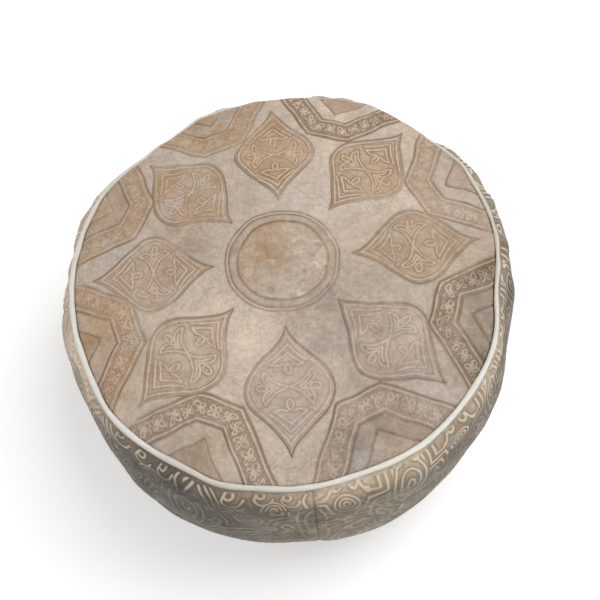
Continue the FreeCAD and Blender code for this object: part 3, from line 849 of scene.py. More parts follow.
# A quarter of the petals' carved figure: along the petal from its middle, then across it
PETAL_FIGURE = (
    ((0, 0), (3, 8), (8, 16), (18.5, 24)),
    ((18.5, 24), (12, 26.5), (5, 23.5), (0, 16)),
    ((0, 11), (5, 18.5), (11, 22.5)),
    ((25.5, 3), (23.5, 9), (25, 17)),
    ((25, 17), (31, 8.5), (38.5, 0)),
    ((27.5, 21.5), (37, 10), (48, 0)),
)
PETAL_BUDS = (((0, 28), (3.2, 5.2)), ((19, 0), (5.4, 3.0)))  # middle and half sizes of its ellipses
FIGURE_IN = 2.0  # middle of the petal in to the middle of its figure
FLOWER_LOOP = ((4.5, 0.0), (3.0, 1.9))  # middle and half sizes of a flower's loops, along a diagonal
BAND_LEAN = math.radians(44.0)  # lean of a band's legs

# Soft swells and small folds of the top, as swells and ripples take them
TOP_SWELLS = ((0.75, 130.0, 3), (0.3, 48.0, 4))
TOP_GATHERS = ((1.0, 47, 0, 2.5, 5), (0.7, 29, 0, 3.0, 3))
# How far the tool, a flower and a patch wander aside, as wander takes it
HAND, LOOSE, PATCH_DRIFT = (0.6, 34.0, 61), (0.78, 13.0, 65), (6.0, 40.0, 63)

CREST = 0.968  # share of the top's grid up to its folded edge
EDGE_BACK = 3.7  # middle of the piping in to the crest of the folded edge
EDGE_DROP = 0.9  # middle of the piping down to that crest
EDGE_TURN = 9.0  # how far the folded edge goes down beside the piping
EDGE_SPREAD = 1.5  # how far it spreads outwards on its way
EDGE_LIFT = 3.5  # how far the edge rises under a full overhang
EDGE_BULGE = 2.5  # how far it hangs out over the piping there
EDGE_GATHER = (0.3, 6.0, 9.0)  # share of the small folds there, their place in from the crest, and width
CROWN_SOFT, CROWN_EDGE = 0.71, 0.29  # shares of the crown that fall slowly and at the edge

FIGURE_CLEAR, FLOWER_CLEAR = 1.0, 1.2  # bare leather between the figures and the borders round them
TRIANGLE_CLEAR = 5.0  # least distance of a triangle from its band
BAND_APART = 300.0  # sets the bands' wander apart
STRIP_EDGE = (0.5, 2.0)  # where the ground between a band's borders begins
STRIP_GROUND = (0.55, 0.75)  # darkness of a band's border, and what its strip adds
STIPPLED = (0.4, 0.6)  # stippling of a rubbed band's strip, and what a clear band adds
DISC_RING = 0.8  # how much wider the groove round the disc is, as a share of a distance
PETAL_SOFT = 3.0  # how far in from its outline a petal takes its full dye
OUTLINE_POINTS = 49
GROOVE_WIDTH = 1.2
TOP_LINE = (0.9, 0.6, 2.0, 1.1)  # width and hollows of a raised line, as raised takes them
RIM = (0.5, 4.0)  # height and width of the raised ring round the disc


def disc_place(u, v):
    """Radius share and angle of a square's points laid over a disc, squares becoming circles.

    The larger of |u| and |v| is the share, and the smaller one's ratio to it turns by up to 45 degrees.
    """
    wide = np.abs(u) > np.abs(v)
    large = np.where(wide, u, v)
    small = np.where(wide, v, u)
    ratio = np.divide(small, large, out=np.zeros_like(u), where=large != 0)
    angle = np.where(wide, ratio * math.pi / 4, math.pi / 2 - ratio * math.pi / 4)
    return np.abs(large), angle + np.where(large < 0, math.pi, 0.0)


def top_form(share, angle, depth, form):
    """The stuffed top: height falls as 1 - q^2 and, at the edge, as 1 - q^14, then folds down at the piping.

    q is the share of the way out to the crest of the fold.
    """
    flat = np.minimum(share / CREST, 1.0)
    fold = np.clip((share - CREST) / (1.0 - CREST), 0.0, 1.0)
    overhang = stray(angle, OVERHANG)
    edge_radius = seam_radius(angle) - EDGE_BACK - depth
    edge_height = seam_height(angle) + (PIPING_SINK + EDGE_LIFT) * overhang - EDGE_DROP - depth
    crown = TOP_HEIGHT - SEAM_HEIGHT + EDGE_DROP
    rise = crown * (CROWN_SOFT * (1 - flat**2) + CROWN_EDGE * (1 - flat**14))
    bulge = EDGE_BULGE * overhang * np.sin(math.pi * np.minimum(2 * fold, 1.0))
    radius = flat * edge_radius + bulge + EDGE_SPREAD * np.sin(fold * math.pi / 2)
    height = edge_height * flat**2 + (SEAM_HEIGHT - EDGE_DROP - depth) * (1 - flat**2) + rise
    height = height - (EDGE_TURN + (PIPING_SINK + EDGE_LIFT) * overhang) * fold**1.5
    points = polar(radius, angle, height)
    points[..., 2] += form.top_slack * (1.0 - flat**8) * swells(points, TOP_SWELLS)
    much, place, width = EDGE_GATHER
    near = (1.0 - fold) * bell(edge_radius * (1.0 - flat) - place, width)
    points[..., 2] -= much * form.pucker * near * (1.0 + ripples(angle, TOP_GATHERS))
    return points


def drawn_out(share):
    """Half width of a petal at a share of its length: 0.7 s^2.2 + 0.3 s with s a half sine wave."""
    wave = np.maximum(np.sin(math.pi * share), 0.0)
    return 0.7 * wave**2.2 + 0.3 * wave


def petal_fields(radius, angle, tool):
    """Attributes that the petals give: distances from outlines and figures, what lies inside, and looks.

    A petal's half width is drawn_out between its tips. Its figure is folded on both of its axes.
    """
    number = np.round(np.degrees(angle) / STEP).astype(int) % FIGURES
    turn, inner, outer, warmth, clear, ground = np.moveaxis(PETALS[number], -1, 0)
    local = angle - np.radians(STEP * number + turn)
    start, end, half = tool.petal_inner, tool.petal_outer, tool.petal_half
    along = start + (radius * np.cos(local) - inner) / (outer - inner) * (end - start)
    across = np.abs(radius * np.sin(local))
    share = np.linspace(0, 1, OUTLINE_POINTS)
    outline = np.stack([start + share * (end - start), half * drawn_out(share)], -1)
    edge = line_distance(along, across, outline)
    inside = across < half * drawn_out(np.clip((along - start) / (end - start), 0.0, 1.0))
    out = np.abs(along - (start + end) / 2 + FIGURE_IN)
    found = [line_distance(out, across, curve_through(points)) for points in PETAL_FIGURE]
    found += [ellipse_distance(out, across, *bud) for bud in PETAL_BUDS]
    figure = np.where(edge > tool.petal_inset + FIGURE_CLEAR, nearest(found), FAR)
    return {
        "inside": inside,
        "groove": edge,
        "line": np.where(inside, np.minimum(figure, np.abs(edge - tool.petal_inset)), FAR),
        "ground": ground,
        "dyed": smooth(edge, 0.0, PETAL_SOFT),
        "warmth": warmth,
        "clear": clear,
        "stippled": np.zeros_like(edge),
    }


def flower_distance(a, b):
    """Distance from the lines of a four-petalled flower, folded on its two axes: loops on the diagonals."""
    along = (np.abs(a) + np.abs(b)) / math.sqrt(2)
    across = (np.abs(b) - np.abs(a)) / math.sqrt(2)
    return np.minimum(ellipse_distance(along, across, *FLOWER_LOOP), np.hypot(a, b))


def band_fields(radius, angle, tool):
    """Attributes that the bands and their triangles give: distances from their lines, and looks.

    A band lies between two like outlines: a straight side and two leaning legs, each the least of its
    distances from three straight lines. Flowers follow its middle line.
    """
    number = np.floor(np.degrees(angle) / STEP).astype(int) % FIGURES
    turn, start, warmth, clear, *darker, gap_dyed = np.moveaxis(BANDS[number], -1, 0)
    band_ground, triangle_ground, gap_ground = darker
    local = angle - np.radians(STEP / 2 + STEP * number + turn)
    along, across = radius * np.cos(local), np.abs(radius * np.sin(local))
    width, border, pitch = tool.band_width, tool.band_border, tool.flower_pitch
    ahead, aside = math.cos(BAND_LEAN), math.sin(BAND_LEAN)
    flat = along - start
    leg = flat * aside - (across - tool.band_half) * ahead
    depth = np.minimum(flat, leg)
    middle_half = tool.band_half - width / 2 * math.tan((math.pi / 2 - BAND_LEAN) / 2)
    leg_way = (flat - width / 2) * ahead + (across - middle_half) * aside
    way = np.where(leg < flat, middle_half + leg_way, across)
    off = wander(np.stack([way + BAND_APART * number, depth, np.zeros_like(way)], -1), *LOOSE)
    flower = flower_distance(way - pitch * np.round(way / pitch) + off[0], depth - width / 2 + off[1])
    within = np.minimum(depth, width - depth)
    flower = np.where(within > border + FLOWER_CLEAR, flower, FAR)
    line = nearest([flower, np.abs(depth - border), np.abs(width - border - depth)])
    wedge = (along - tool.triangle - across) / math.sqrt(2)
    wedge = np.where(depth > width + TRIANGLE_CLEAR, wedge, -FAR)
    inside, beyond, triangle = within > 0, depth > width, wedge > 0
    strip = np.where(inside, smooth(within, border + STRIP_EDGE[0], border + STRIP_EDGE[1]), 0.0)
    ground = np.where(beyond, gap_ground, stray(angle, FIELD_GROUND))
    ground = np.where(inside, band_ground * (STRIP_GROUND[0] + STRIP_GROUND[1] * strip), ground)
    dyed = np.where(inside, BAND_DYED, np.where(beyond, gap_dyed, 0.0))
    return {
        "groove": nearest([np.abs(depth), np.abs(depth - width), np.abs(wedge)]),
        "line": np.where(inside, line, FAR),
        "ground": np.where(triangle, triangle_ground, ground),
        "dyed": np.where(triangle, TRIANGLE_DYED, dyed),
        "warmth": warmth,
        "clear": clear,
        "stippled": strip * (STIPPLED[0] + STIPPLED[1] * clear),
    }


def patches(points, table):
    """Sum of soft round patches: strength times a bell curve of the distance from each middle."""
    x, y = (points[..., i] + off for i, off in enumerate(wander(points, *PATCH_DRIFT)))
    return sum(strength * bell(np.hypot(x - px, y - py), radius) for px, py, radius, strength in table)


def tooling(points, tool):
    """Attributes of the tooling at points of the top, whose distances are in millimetres.

    A petal's own hold inside it, and the bands' elsewhere. Three rings add grooves, the disc within them
    goes from a shady to a sunny side as a tanh, and soft patches darken, lighten and brown the whole: the
    browned ones are dye, the darker and lighter ones partly dirt and partly painted shade and light.
    """
    off = wander(points, *HAND)
    x, y = points[..., 0] - PATTERN_X + off[0], points[..., 1] - PATTERN_Y + off[1]
    radius, angle = np.hypot(x, y), np.arctan2(y, x)
    petals, bands = petal_fields(radius, angle, tool), band_fields(radius, angle, tool)
    inside = petals["inside"]
    fields = {key: np.where(inside, petals[key], bands[key]) for key in bands}
    for key in ("groove", "line"):
        fields[key] = np.minimum(petals[key], np.where(inside, FAR, bands[key]))
    rings = [np.abs(radius - ring) for ring in (tool.disc, tool.ring_inner, tool.ring_outer)]
    fields["groove"] = nearest([fields["groove"], rings[0] * DISC_RING, *rings[1:]])
    sun_x, sun_y, softness = DISC_SUN
    sunny = 0.5 - 0.5 * np.tanh((sun_x * x + sun_y * y) / softness)
    disc = radius < tool.disc
    for key, (ring, shady, added) in MIDDLE.items():
        middle = np.where(disc, shady + added * sunny, ring)
        fields[key] = np.where(radius < tool.ring_inner, middle, fields[key])
    fields["darkening_and_shade"] = fields.pop("ground") + patches(points, DIRT_AND_SHADE_PATCHES)
    fields["browned"] = patches(points, BROWNED)
    fields["spotted"] = np.where(disc, DISC_SPOTTED[0] + DISC_SPOTTED[1] * sunny, 0.0)
    fields["rim"] = np.abs(radius - (tool.disc + tool.ring_inner) / 2)
    return fields


def raised(distance, width, hollow, away, softness):
    """Height of a line with hollows beside it: bell(d, width) - hollow bell(d - away, softness)."""
    return bell(distance, width) - hollow * bell(distance - away, softness)


def pressed(fields, tool):
    """Height of the tooling: round-bottomed grooves, raised lines and a raised ring."""
    groove = -tool.groove_depth * bell(fields["groove"], GROOVE_WIDTH)
    line = tool.line_height * raised(fields["line"], *TOP_LINE) * fields["clear"]
    return groove + line + RIM[0] * bell(fields["rim"], RIM[1])


class POUF_OT_top_panel(bpy.types.Operator):
    """Builds the tooled top from a disc of leather over the stuffing"""

    bl_idname = "pouf.top_panel"
    bl_label = "Tooled top"

    def execute(self, context):
        scene = context.scene
        form, tool = millimetres(scene.pouf_form), millimetres(scene.pouf_tooling)

        def surface(u, v, back):
            """The stuffed top, settled, with its tooling pressed in, or its flesh side further in."""
            share, angle = disc_place(u, v)
            points = top_form(share, angle, LEATHER * back, form)
            points[..., 2] += cover.on_top(share, angle) - FLESH * back * (1.0 - share**8)
            if back:
                return points, {}
            fields = tooling(points, tool)
            points[..., 2] += pressed(fields, tool)
            del fields["rim"]
            return points, fields

        side = scene.pouf_detail.top_grid
        mesh = sheet_mesh("tooled_top", surface, side, side)
        material = top_leather(scene.pouf_colours)
        add_piece(mesh, material, ["top_panel"])
        return {"FINISHED"}


# Side


# Half of a repeat of the side's embossing: along it from the axis of its leaf, then down from the piping
SIDE_STEPS = (
    ((25.5, 2), (25.5, 26), (46, 26), (52, 40)),
    ((18, 4), (18, 33), (40, 33), (46, 47), (46, 56)),
    ((33, 3), (33, 18), (46, 18), (50, 12)),
    ((24, 56), (34, 42), (39, 50), (30, 66), (14, 84)),
    ((24, 84), (38, 64), (70, 58)),
    ((34, 84), (44, 71), (70, 66)),
    ((45, 84), (52, 78), (70, 74)),
)
SIDE_LEAF = ((0, 42), 2.3, (4.0, 11.5, 19.0))  # middle, length to width, half widths of the nested leaves
SIDE_WHEEL = (31, (3.6, 8.4, 13.6))  # depth and radii of the nested rings
SIDE_HALF = 70.0  # axis of a leaf to the axis of the next wheel
SIDE_CLEAR = 3.0  # bare leather round the leaves and wheels
SIDE_CURLS = ((60, 6, 4.5), (10, 3, 4.0), (31, 62, 4.2), (3, 66, 4.2))  # middle and radius
SIDE_TAILS = (((35, 60), (40, 68), (34, 78)), ((7, 66), (12, 74), (6, 84)), ((54, 4), (50, 12), (44, 15)))
# Border of the embossing, which some panels have under the piping: along it, then down from the piping
EDGE_CURLS = ((27, 7), (58.5, 6), (90, 7))  # middles of the running scroll's curls
EDGE_CURL = 4.6  # radius of a curl
EDGE_TAIL = ((4.6, 0), (6.5, 8), (0, 15), (-10, 14), (-14.5, 6))  # tail of a curl, from its middle
EDGE_ARCS = ((44, 33), (4.5, 9.5, 14.5))  # middle and radii of nested arches
EDGE_LINES = (
    ((3, 3), (9, 14), (6, 29)),
    ((112, 3), (104, 13), (97, 24)),
    ((119, 3), (111, 15), (104, 29)),
    ((124, 8), (118, 19), (111, 31)),
    ((133, 3), (141, 13), (148, 24)),
    ((130, 8), (136, 19), (143, 31)),
)
EDGE_DEPTH = 34.0  # depth of that border

# The panels: where their leaves and their rows begin, whether they have the border, how light they are
SIDE_PANELS = ((105, 0, False, 0.8), (40, -22, True, 1.3), (0, -22, True, 0.85), (105, 0, False, 1.1))
PANEL_SPAN = TURN / len(SIDE_PANELS)
FIRST_SEAM = math.radians(1.2)
PANEL_GAP = 0.05  # half of the gap between two panels
# How light the side is round the pouf, as a share of its panel's: partly the leather's own tone, partly
# painted light and shade
SIDE_SHADE = (
    (0, 0.52), (12, 0.78), (60, 1.0), (150, 0.9), (175, 0.85), (190, 2.1), (205, 2.1), (220, 0.75),
    (235, 0.32), (250, 0.62), (265, 1.25), (280, 1.3), (295, 1.03), (310, 0.58), (325, 1.1), (340, 0.62),
)
# How far down the lighter leather near the piping reaches there: partly rubbed leather, partly painted light
# on the shoulder
SIDE_REACH = ((170, 1.0), (190, 1.5), (208, 1.5), (222, 0.9), (235, 0.48), (250, 0.5), (270, 1.0))

# How the belly strays outwards from its circle
BELLY_SWAY = (
    (0, 7), (14, 7), (22, 7), (48, -3), (71, 5), (92, 0), (106, 7), (131, -6), (152, 11), (160, 4),
    (168, 2), (184, 6), (196, 0), (212, -7), (235, 2), (250, 2), (262, -4), (281, 5), (299, -3),
    (315, -1), (329, -6), (336, -6), (348, 2),
)
# How far the shoulder puffs out under the piping
SHOULDER_PUFF = (
    (0, 4), (12, 1), (21, 5), (36, 0), (60, 0), (78, 2), (92, 0), (105, 4), (118, 0), (140, 1),
    (153, 6), (160, 1), (190, 0), (330, 0), (346, 3),
)
# Soft swells and small folds of the side, and how far its embossing wanders aside
SIDE_SWELLS = ((0.8, 150.0, 11), (0.35, 60.0, 12))
SIDE_GATHERS = ((1.0, 41, 0, 3.0, 4), (0.8, 23, 0, 2.0, 7))
STRETCH = (1.6, 60.0, 20)
SIDE_LINE = (1.4, 0.5, 2.8, 1.3)  # width and hollows of a raised line, as raised takes them

FOLD = 2.0  # radius of a folded edge
SEAM_LEAN = 65.0  # lean of the sewn edges under the piping
SIDE_EDGE = (-3.56, -9.88)  # middle of the piping to the start of the side's sewn edge
SIDE_SEWN = 6.0  # length of a sewn edge that is modelled
SHOULDER_FALL = -35.0  # slope of the side at the piping
UPPER_FALL, BELLY_FALL, LOWER_FALL, FLOOR_FALL = -70.0, -90.0, -105.0, -180.0  # slopes further down
BASE_RISE = 5.7  # length of the side between the roll and its lower folded edge
BASE_TURN = -60.0  # turn of that roll, and of that edge

# Depth and width of the dips along an upright seam
SEAM_DIPS = ((1.1, 2.2), (0.8, 10.0))
SIDE_GATHER = (0.7, 14.0, 14.0)  # share of the small folds under the piping, their place down, and width
PUFF_PLACE, PUFF_WIDTH = 16.0, 12.0
# Where these fade in, by the way down from the piping, the height or the distance from an upright seam
STRAY_HEIGHT = (40.0, SEAM_HEIGHT)
SWELL_FALL, SWELL_HEIGHT = (-2.0, 14.0), (2.0, 26.0)
DIP_FALL, DIP_HEIGHT = (-1.0, 8.0), (4.0, 90.0)
SWAY_FALL, SWAY_HEIGHT = (4.0, 40.0), (20.0, 120.0)
LINE_FALL, LINE_HEIGHT, LINE_SEAM = (1.0, 6.0), (6.0, 24.0), (1.5, 5.0)
LINE_LOW = (40.0, 80.0)  # where the embossing is lower
LINE_LOST = 0.6  # share of its height that is lost there
LINE_QUIET = 0.3  # least share of its height at which a line still has its colour


def bend_share(heading, last):
    """How far a bend of radius 1 goes while it turns from one heading to another, as (r, z)."""
    toward = math.copysign(1.0, last - heading)
    start, end = math.radians(heading), math.radians(last)
    return toward * (math.sin(end) - math.sin(start)), toward * (math.cos(start) - math.cos(end))


def two_bends(place, end, heading, between, last):
    """Two bends from place to end, through the headings heading, between and last, as (radius, turn)."""
    shares = np.array([bend_share(heading, between), bend_share(between, last)]).T
    first, second = np.linalg.solve(shares, np.subtract(end, place))
    return [(first, between - heading), (second, last - between)]


def trace(place, heading, steps, parts=48):
    """A line of (r, z) points along runs (length, 0) and bends (radius, turn), one after another."""
    share = np.linspace(0, 1, parts)
    found = []
    for size, turn in steps:
        angle = np.radians(heading + turn * share)
        if turn:
            side = math.copysign(size, turn)
            r = place[0] + side * (np.sin(angle) - np.sin(angle[0]))
            z = place[1] - side * (np.cos(angle) - np.cos(angle[0]))
        else:
            r = place[0] + size * share * np.cos(angle)
            z = place[1] + size * share * np.sin(angle)
        heading += turn
        place = (r[-1], z[-1])
        found.append(np.stack([r, z], -1)[1 if found else 0:])
    return np.concatenate(found)


class SideLine:
    """The side in section, in runs and bends from its sewn edge over the belly to the base seam."""

    def __init__(self, form):
        seam = (SEAM_RADIUS + SIDE_EDGE[0], SEAM_HEIGHT + SIDE_EDGE[1])
        steps = [(SIDE_SEWN, 0.0), (FOLD, SHOULDER_FALL - SEAM_LEAN)]
        lead = trace(seam, SEAM_LEAN, steps)
        belly, foot = (BELLY, form.belly_height), (BELLY - form.floor_inset, 0.0)
        steps += two_bends(lead[-1], belly, SHOULDER_FALL, UPPER_FALL, BELLY_FALL)
        steps += two_bends(belly, foot, BELLY_FALL, LOWER_FALL, FLOOR_FALL)
        down = [size * (math.radians(abs(turn)) or 1.0) for size, turn in steps]
        self.start, self.foot = np.sum(down[:2]), np.sum(down)
        steps += [(form.floor_ring, 0.0), (form.base_roll, BASE_TURN), (BASE_RISE, 0.0)]
        steps += [(FOLD, BASE_TURN), (SIDE_SEWN, 0.0)]
        line = trace(seam, SEAM_LEAN, steps)
        self.way = np.concatenate([[0.0], np.cumsum(np.hypot(*np.diff(line, axis=0).T))])
        ahead = np.gradient(line, self.way, axis=0)
        ahead /= np.linalg.norm(ahead, axis=1, keepdims=True)
        self.columns = [*line.T, -ahead[:, 1], ahead[:, 0]]

    def at(self, way):
        """Radius, height and outward direction at lengths along the line."""
        return [np.interp(way, self.way, column) for column in self.columns]


def seam_distance(angle):
    """Angle to the nearest upright seam."""
    turn = (angle - FIRST_SEAM) % PANEL_SPAN
    return np.minimum(turn, PANEL_SPAN - turn)


def side_form(line, angle, way, form):
    """The stuffed side: the section's radius, height and outward direction, and how far it moves outwards.

    The section follows the piping's stray, which fades down the side, and the belly's. The move is the sum
    of soft swells, the dips along the upright seams, the small folds under the piping and the shoulder's
    puffs.
    """
    radius, height, out_r, out_z = line.at(way)
    fall = way - line.start
    upper = smooth(height, *STRAY_HEIGHT)
    body = smooth(fall, *SWELL_FALL) * smooth(height, *SWELL_HEIGHT)
    off = form.side_slack * body * swells(polar(radius, angle, height), SIDE_SWELLS)
    dip = sum(depth * bell(seam_distance(angle) * radius, width) for depth, width in SEAM_DIPS)
    off = off - dip * smooth(fall, *DIP_FALL) * smooth(height, *DIP_HEIGHT)
    much, place, width = SIDE_GATHER
    off = off + much * form.pucker * bell(fall - place, width) * ripples(angle, SIDE_GATHERS)
    off = off + stray(angle, SHOULDER_PUFF) * bell(fall - PUFF_PLACE, PUFF_WIDTH)
    sway = stray(angle, BELLY_SWAY) * smooth(fall, *SWAY_FALL) * smooth(height, *SWAY_HEIGHT)
    radius = radius + (seam_radius(angle) - SEAM_RADIUS) * upper + sway
    height = height + (seam_height(angle) - SEAM_HEIGHT) * upper
    return radius, height, out_r, out_z, off


def edge_distance(a, b):
    """Distance of points (a, b) from the lines of the embossing's border: curls, nested arches and waves."""
    tail = curve_through(EDGE_TAIL)
    found = [ring_distance(a, b, middle, EDGE_CURL) for middle in EDGE_CURLS]
    found += [line_distance(a, b, tail + middle) for middle in EDGE_CURLS]
    middle, radii = EDGE_ARCS
    found += [np.where(b < middle[1], ring_distance(a, b, middle, radius), FAR) for radius in radii]
    return nearest(found + [line_distance(a, b, curve_through(line)) for line in EDGE_LINES])


def emboss_distance(a, b, emboss, number):
    """Distance of points (a, b) from a panel's embossed lines, a along the side and b down from the piping.

    A repeat has a leaf of nested ellipses on its axis, a wheel of nested rings halfway to the next axis, and
    steps, waves and curls between them. The next row down is moved by half a repeat. Soft swells bend the
    lines. A panel that was cut at the border of the embossing has the border's lines first.
    """
    reach, wavelength, seed = STRETCH
    off = wander(np.stack([a, b, np.zeros_like(a)], -1), reach, wavelength, seed + 2 * number)
    a, fall = a + off[0], b + off[1]
    first, start, bordered, _ = SIDE_PANELS[number]
    row = np.floor((fall + start) / emboss.row)
    down = fall + start - row * emboss.row
    half = emboss.repeat / 2
    along = np.abs((a - first + row * half + half) % emboss.repeat - half) * SIDE_HALF / half
    middle, tall, halves = SIDE_LEAF
    depth, radii = SIDE_WHEEL
    rings = [((SIDE_HALF, depth), radius) for radius in radii] + [((x, y), r) for x, y, r in SIDE_CURLS]
    found = [ellipse_distance(along, down, middle, (wide, wide * tall)) for wide in halves]
    found += [ring_distance(along, down, *ring) for ring in rings]
    leaf = np.hypot(along - middle[0], (down - middle[1]) / tall) < halves[-1] + SIDE_CLEAR
    wheel = np.hypot(along - SIDE_HALF, down - depth) < radii[-1] + SIDE_CLEAR
    lines = [*SIDE_STEPS, *(curve_through(tail) for tail in SIDE_TAILS)]
    found += [np.where(leaf | wheel, FAR, line_distance(along, down, line)) for line in lines]
    return np.where(bordered & (fall < EDGE_DEPTH), edge_distance(a % emboss.repeat, fall), nearest(found))


def side_surface(line, number, form, emboss):
    """Surface of a panel: the stuffed side, settled, with the raised lines on its face."""
    first = FIRST_SEAM + number * PANEL_SPAN
    gap = PANEL_GAP / BELLY
    *_, bordered, light = SIDE_PANELS[number]

    def surface(u, v, back):
        """u goes round between the upright seams, and v up from the base seam to the piping."""
        inside = np.maximum(np.abs(u), np.abs(v))
        depth = back * (LEATHER + FLESH * (1.0 - inside**8))
        angle = first + gap + (u + 1) / 2 * (PANEL_SPAN - 2 * gap)
        way = (1 - v) / 2 * line.way[-1]
        fall = way - line.start
        radius, height, out_r, out_z, off = side_form(line, angle, way, form)
        off = off + cover.on_side(fall, angle) - depth
        seam = (1 - np.abs(u)) * PANEL_SPAN / 2 * radius
        along = (angle - first) * BELLY
        near = emboss_distance(PANEL_SPAN * BELLY - along if bordered else along, fall, emboss, number)
        quiet = smooth(fall, *LINE_FALL) * smooth(height, *LINE_HEIGHT) * smooth(seam, *LINE_SEAM)
        if not back:
            left = emboss.height * (1.0 - LINE_LOST * smooth(fall, *LINE_LOW))
            off = off + left * quiet * raised(near, *SIDE_LINE)
        points = polar(radius + out_r * off, angle, height + out_z * off)
        points[..., 2] = np.maximum(points[..., 2], depth)
        fields = {
            "line": np.where(quiet > LINE_QUIET, near, FAR),
            "fall": fall / stray(angle, SIDE_REACH),
            "seam": seam,
            # The panel's tone times the side's lightness round the pouf, which is partly painted light and
            # shade
            "shade": light * stray(angle, SIDE_SHADE),
        }
        return points, fields

    return surface


class POUF_OT_side_panels(bpy.types.Operator):
    """Builds the four embossed side panels, which meet in upright seams"""

    bl_idname = "pouf.side_panels"
    bl_label = "Embossed side"

    def execute(self, context):
        scene = context.scene
        material = side_leather(scene.pouf_colours)
        form, emboss = millimetres(scene.pouf_form), millimetres(scene.pouf_emboss)
        line = SideLine(form)
        rows, columns = scene.pouf_detail.side_rows, scene.pouf_detail.side_columns
        for number in range(len(SIDE_PANELS)):
            surface = side_surface(line, number, form, emboss)
            mesh = sheet_mesh(f"embossed_side_{number + 1}", surface, rows, columns)
            add_piece(mesh, material, [f"side_panel_{number + 1}"])
        return {"FINISHED"}


# Settled cover


CAGE_TURNS, CAGE_TOP, CAGE_SIDE = 180, 16, 28
CAGE_FRAMES = 20
CAGE_SLACK = 3.0  # how far inside its form the cover starts
CAGE_CAP = 5.0  # furthest that a point of the cover may swell or sink from the mean of its ring
CAGE_SEAM = (0.35, 6.0)  # how firmly the upright seams hold it, and the width of their hold
TOP_SHARE, SIDE_SHARE = 0.4, 0.55  # shares of the swelling that the firmly stuffed top and side keep
CLOTH = {
    "vertex_group_mass": "held",
    "pin_stiffness": 1.0,
    "mass": 0.4,
    "quality": 6,
    "tension_stiffness": 25.0,
    "compression_stiffness": 25.0,
    "shear_stiffness": 12.0,
    "bending_stiffness": 6.0,
    "shrink_min": -0.02,
    "use_pressure": True,
    "uniform_pressure_force": 4.0,
}


class Cover:
    """How far the settled cover stands off its plain form, on a grid of rings of the top and of the side."""

    def __init__(self):
        self.top = np.zeros((CAGE_TOP + 1, CAGE_TURNS))
        self.side = np.zeros((CAGE_SIDE, CAGE_TURNS))
        self.foot = 1.0

    def on_top(self, share, angle):
        """How far the top stands off at a share of the way out."""
        return grid_value(self.top, np.minimum(share / CREST, 1.0) * CAGE_TOP, angle)

    def on_side(self, fall, angle):
        """How far the side stands off at a way down from the piping."""
        return grid_value(self.side, np.clip(fall / self.foot, 0.0, 1.0) * (CAGE_SIDE - 1), angle)


cover = Cover()


def cage_points(form, line, foot):
    """Rings of the cover from the top's middle to the floor, their outward directions, how firmly held."""
    angle = np.linspace(0, TURN, CAGE_TURNS, endpoint=False)[None]
    top = top_form(np.linspace(0, CREST, CAGE_TOP + 1)[1:, None], angle, 0.0, form)
    fall = np.linspace(0, foot, CAGE_SIDE)[:, None]
    radius, height, out_r, out_z, off = side_form(line, angle, fall + line.start, form)
    side = polar(radius + out_r * off, angle, height + out_z * off)
    up = np.zeros_like(top)
    up[..., 2] = 1.0
    outward = np.concatenate([up, polar(out_r, angle, out_z)])
    firm_top = np.zeros((CAGE_TOP, CAGE_TURNS))
    firm_top[-1] = 1.0
    hold, width = CAGE_SEAM
    firm_side = np.repeat(hold * bell(seam_distance(angle) * BELLY, width), CAGE_SIDE, 0)
    firm_side[0] = firm_side[-1] = 1.0
    return np.concatenate([top, side]), outward, np.concatenate([firm_top, firm_side])


class POUF_OT_cover(bpy.types.Operator):
    """Lets the cover settle as a cloth under pressure, held at the piping, the floor and the seams"""

    bl_idname = "pouf.cover"
    bl_label = "Settle the cover"

    def execute(self, context):
        form = millimetres(context.scene.pouf_form)
        line = SideLine(form)
        foot = line.foot - line.start
        points, outward, firm = cage_points(form, line, foot)
        start = points - CAGE_SLACK * outward * (1.0 - firm)[..., None]
        settled = self.settle(context.scene, start, firm)
        moved = np.sum((settled - start) * outward, -1)
        moved = moved - moved.mean(1, keepdims=True)
        moved = CAGE_CAP * np.tanh(moved / CAGE_CAP)
        cover.top[1:] = TOP_SHARE * moved[:CAGE_TOP]
        cover.top[0] = cover.top[1].mean()
        cover.side[:] = SIDE_SHARE * moved[CAGE_TOP:]
        cover.foot = foot
        return {"FINISHED"}

    def settle(self, scene, start, firm):
        """Points of the cage after its cloth has been stepped through its frames."""
        mesh = rings_mesh("cover_cage", start, start[0, :, 2].mean(), start[-1, :, 2].mean())
        cage = bpy.data.objects.new("cover_cage", mesh)
        scene.collection.objects.link(cage)
        held = cage.vertex_groups.new(name="held")
        weights = np.concatenate([firm.ravel(), [0.0, 1.0]]).round(2)
        for weight in np.unique(weights):
            held.add(np.flatnonzero(weights == weight).tolist(), float(weight), "REPLACE")
        cloth = cage.modifiers.new("leather", "CLOTH")
        for key, value in CLOTH.items():
            setattr(cloth.settings, key, value)
        cloth.settings.effector_weights.gravity = 0.0
        cloth.collision_settings.use_collision = False
        cloth.point_cache.frame_end = CAGE_FRAMES
        for step in range(1, CAGE_FRAMES + 1):
            scene.frame_set(step)
        found = np.empty(len(weights) * 3, np.float32)
        settled = cage.evaluated_get(bpy.context.evaluated_depsgraph_get()).data
        settled.vertices.foreach_get("co", found)
        found = found.reshape(-1, 3)[:firm.size].reshape(start.shape) / MM
        bpy.data.objects.remove(cage)
        bpy.data.meshes.remove(mesh)
        scene.frame_set(1)
        return found


# Base and zip


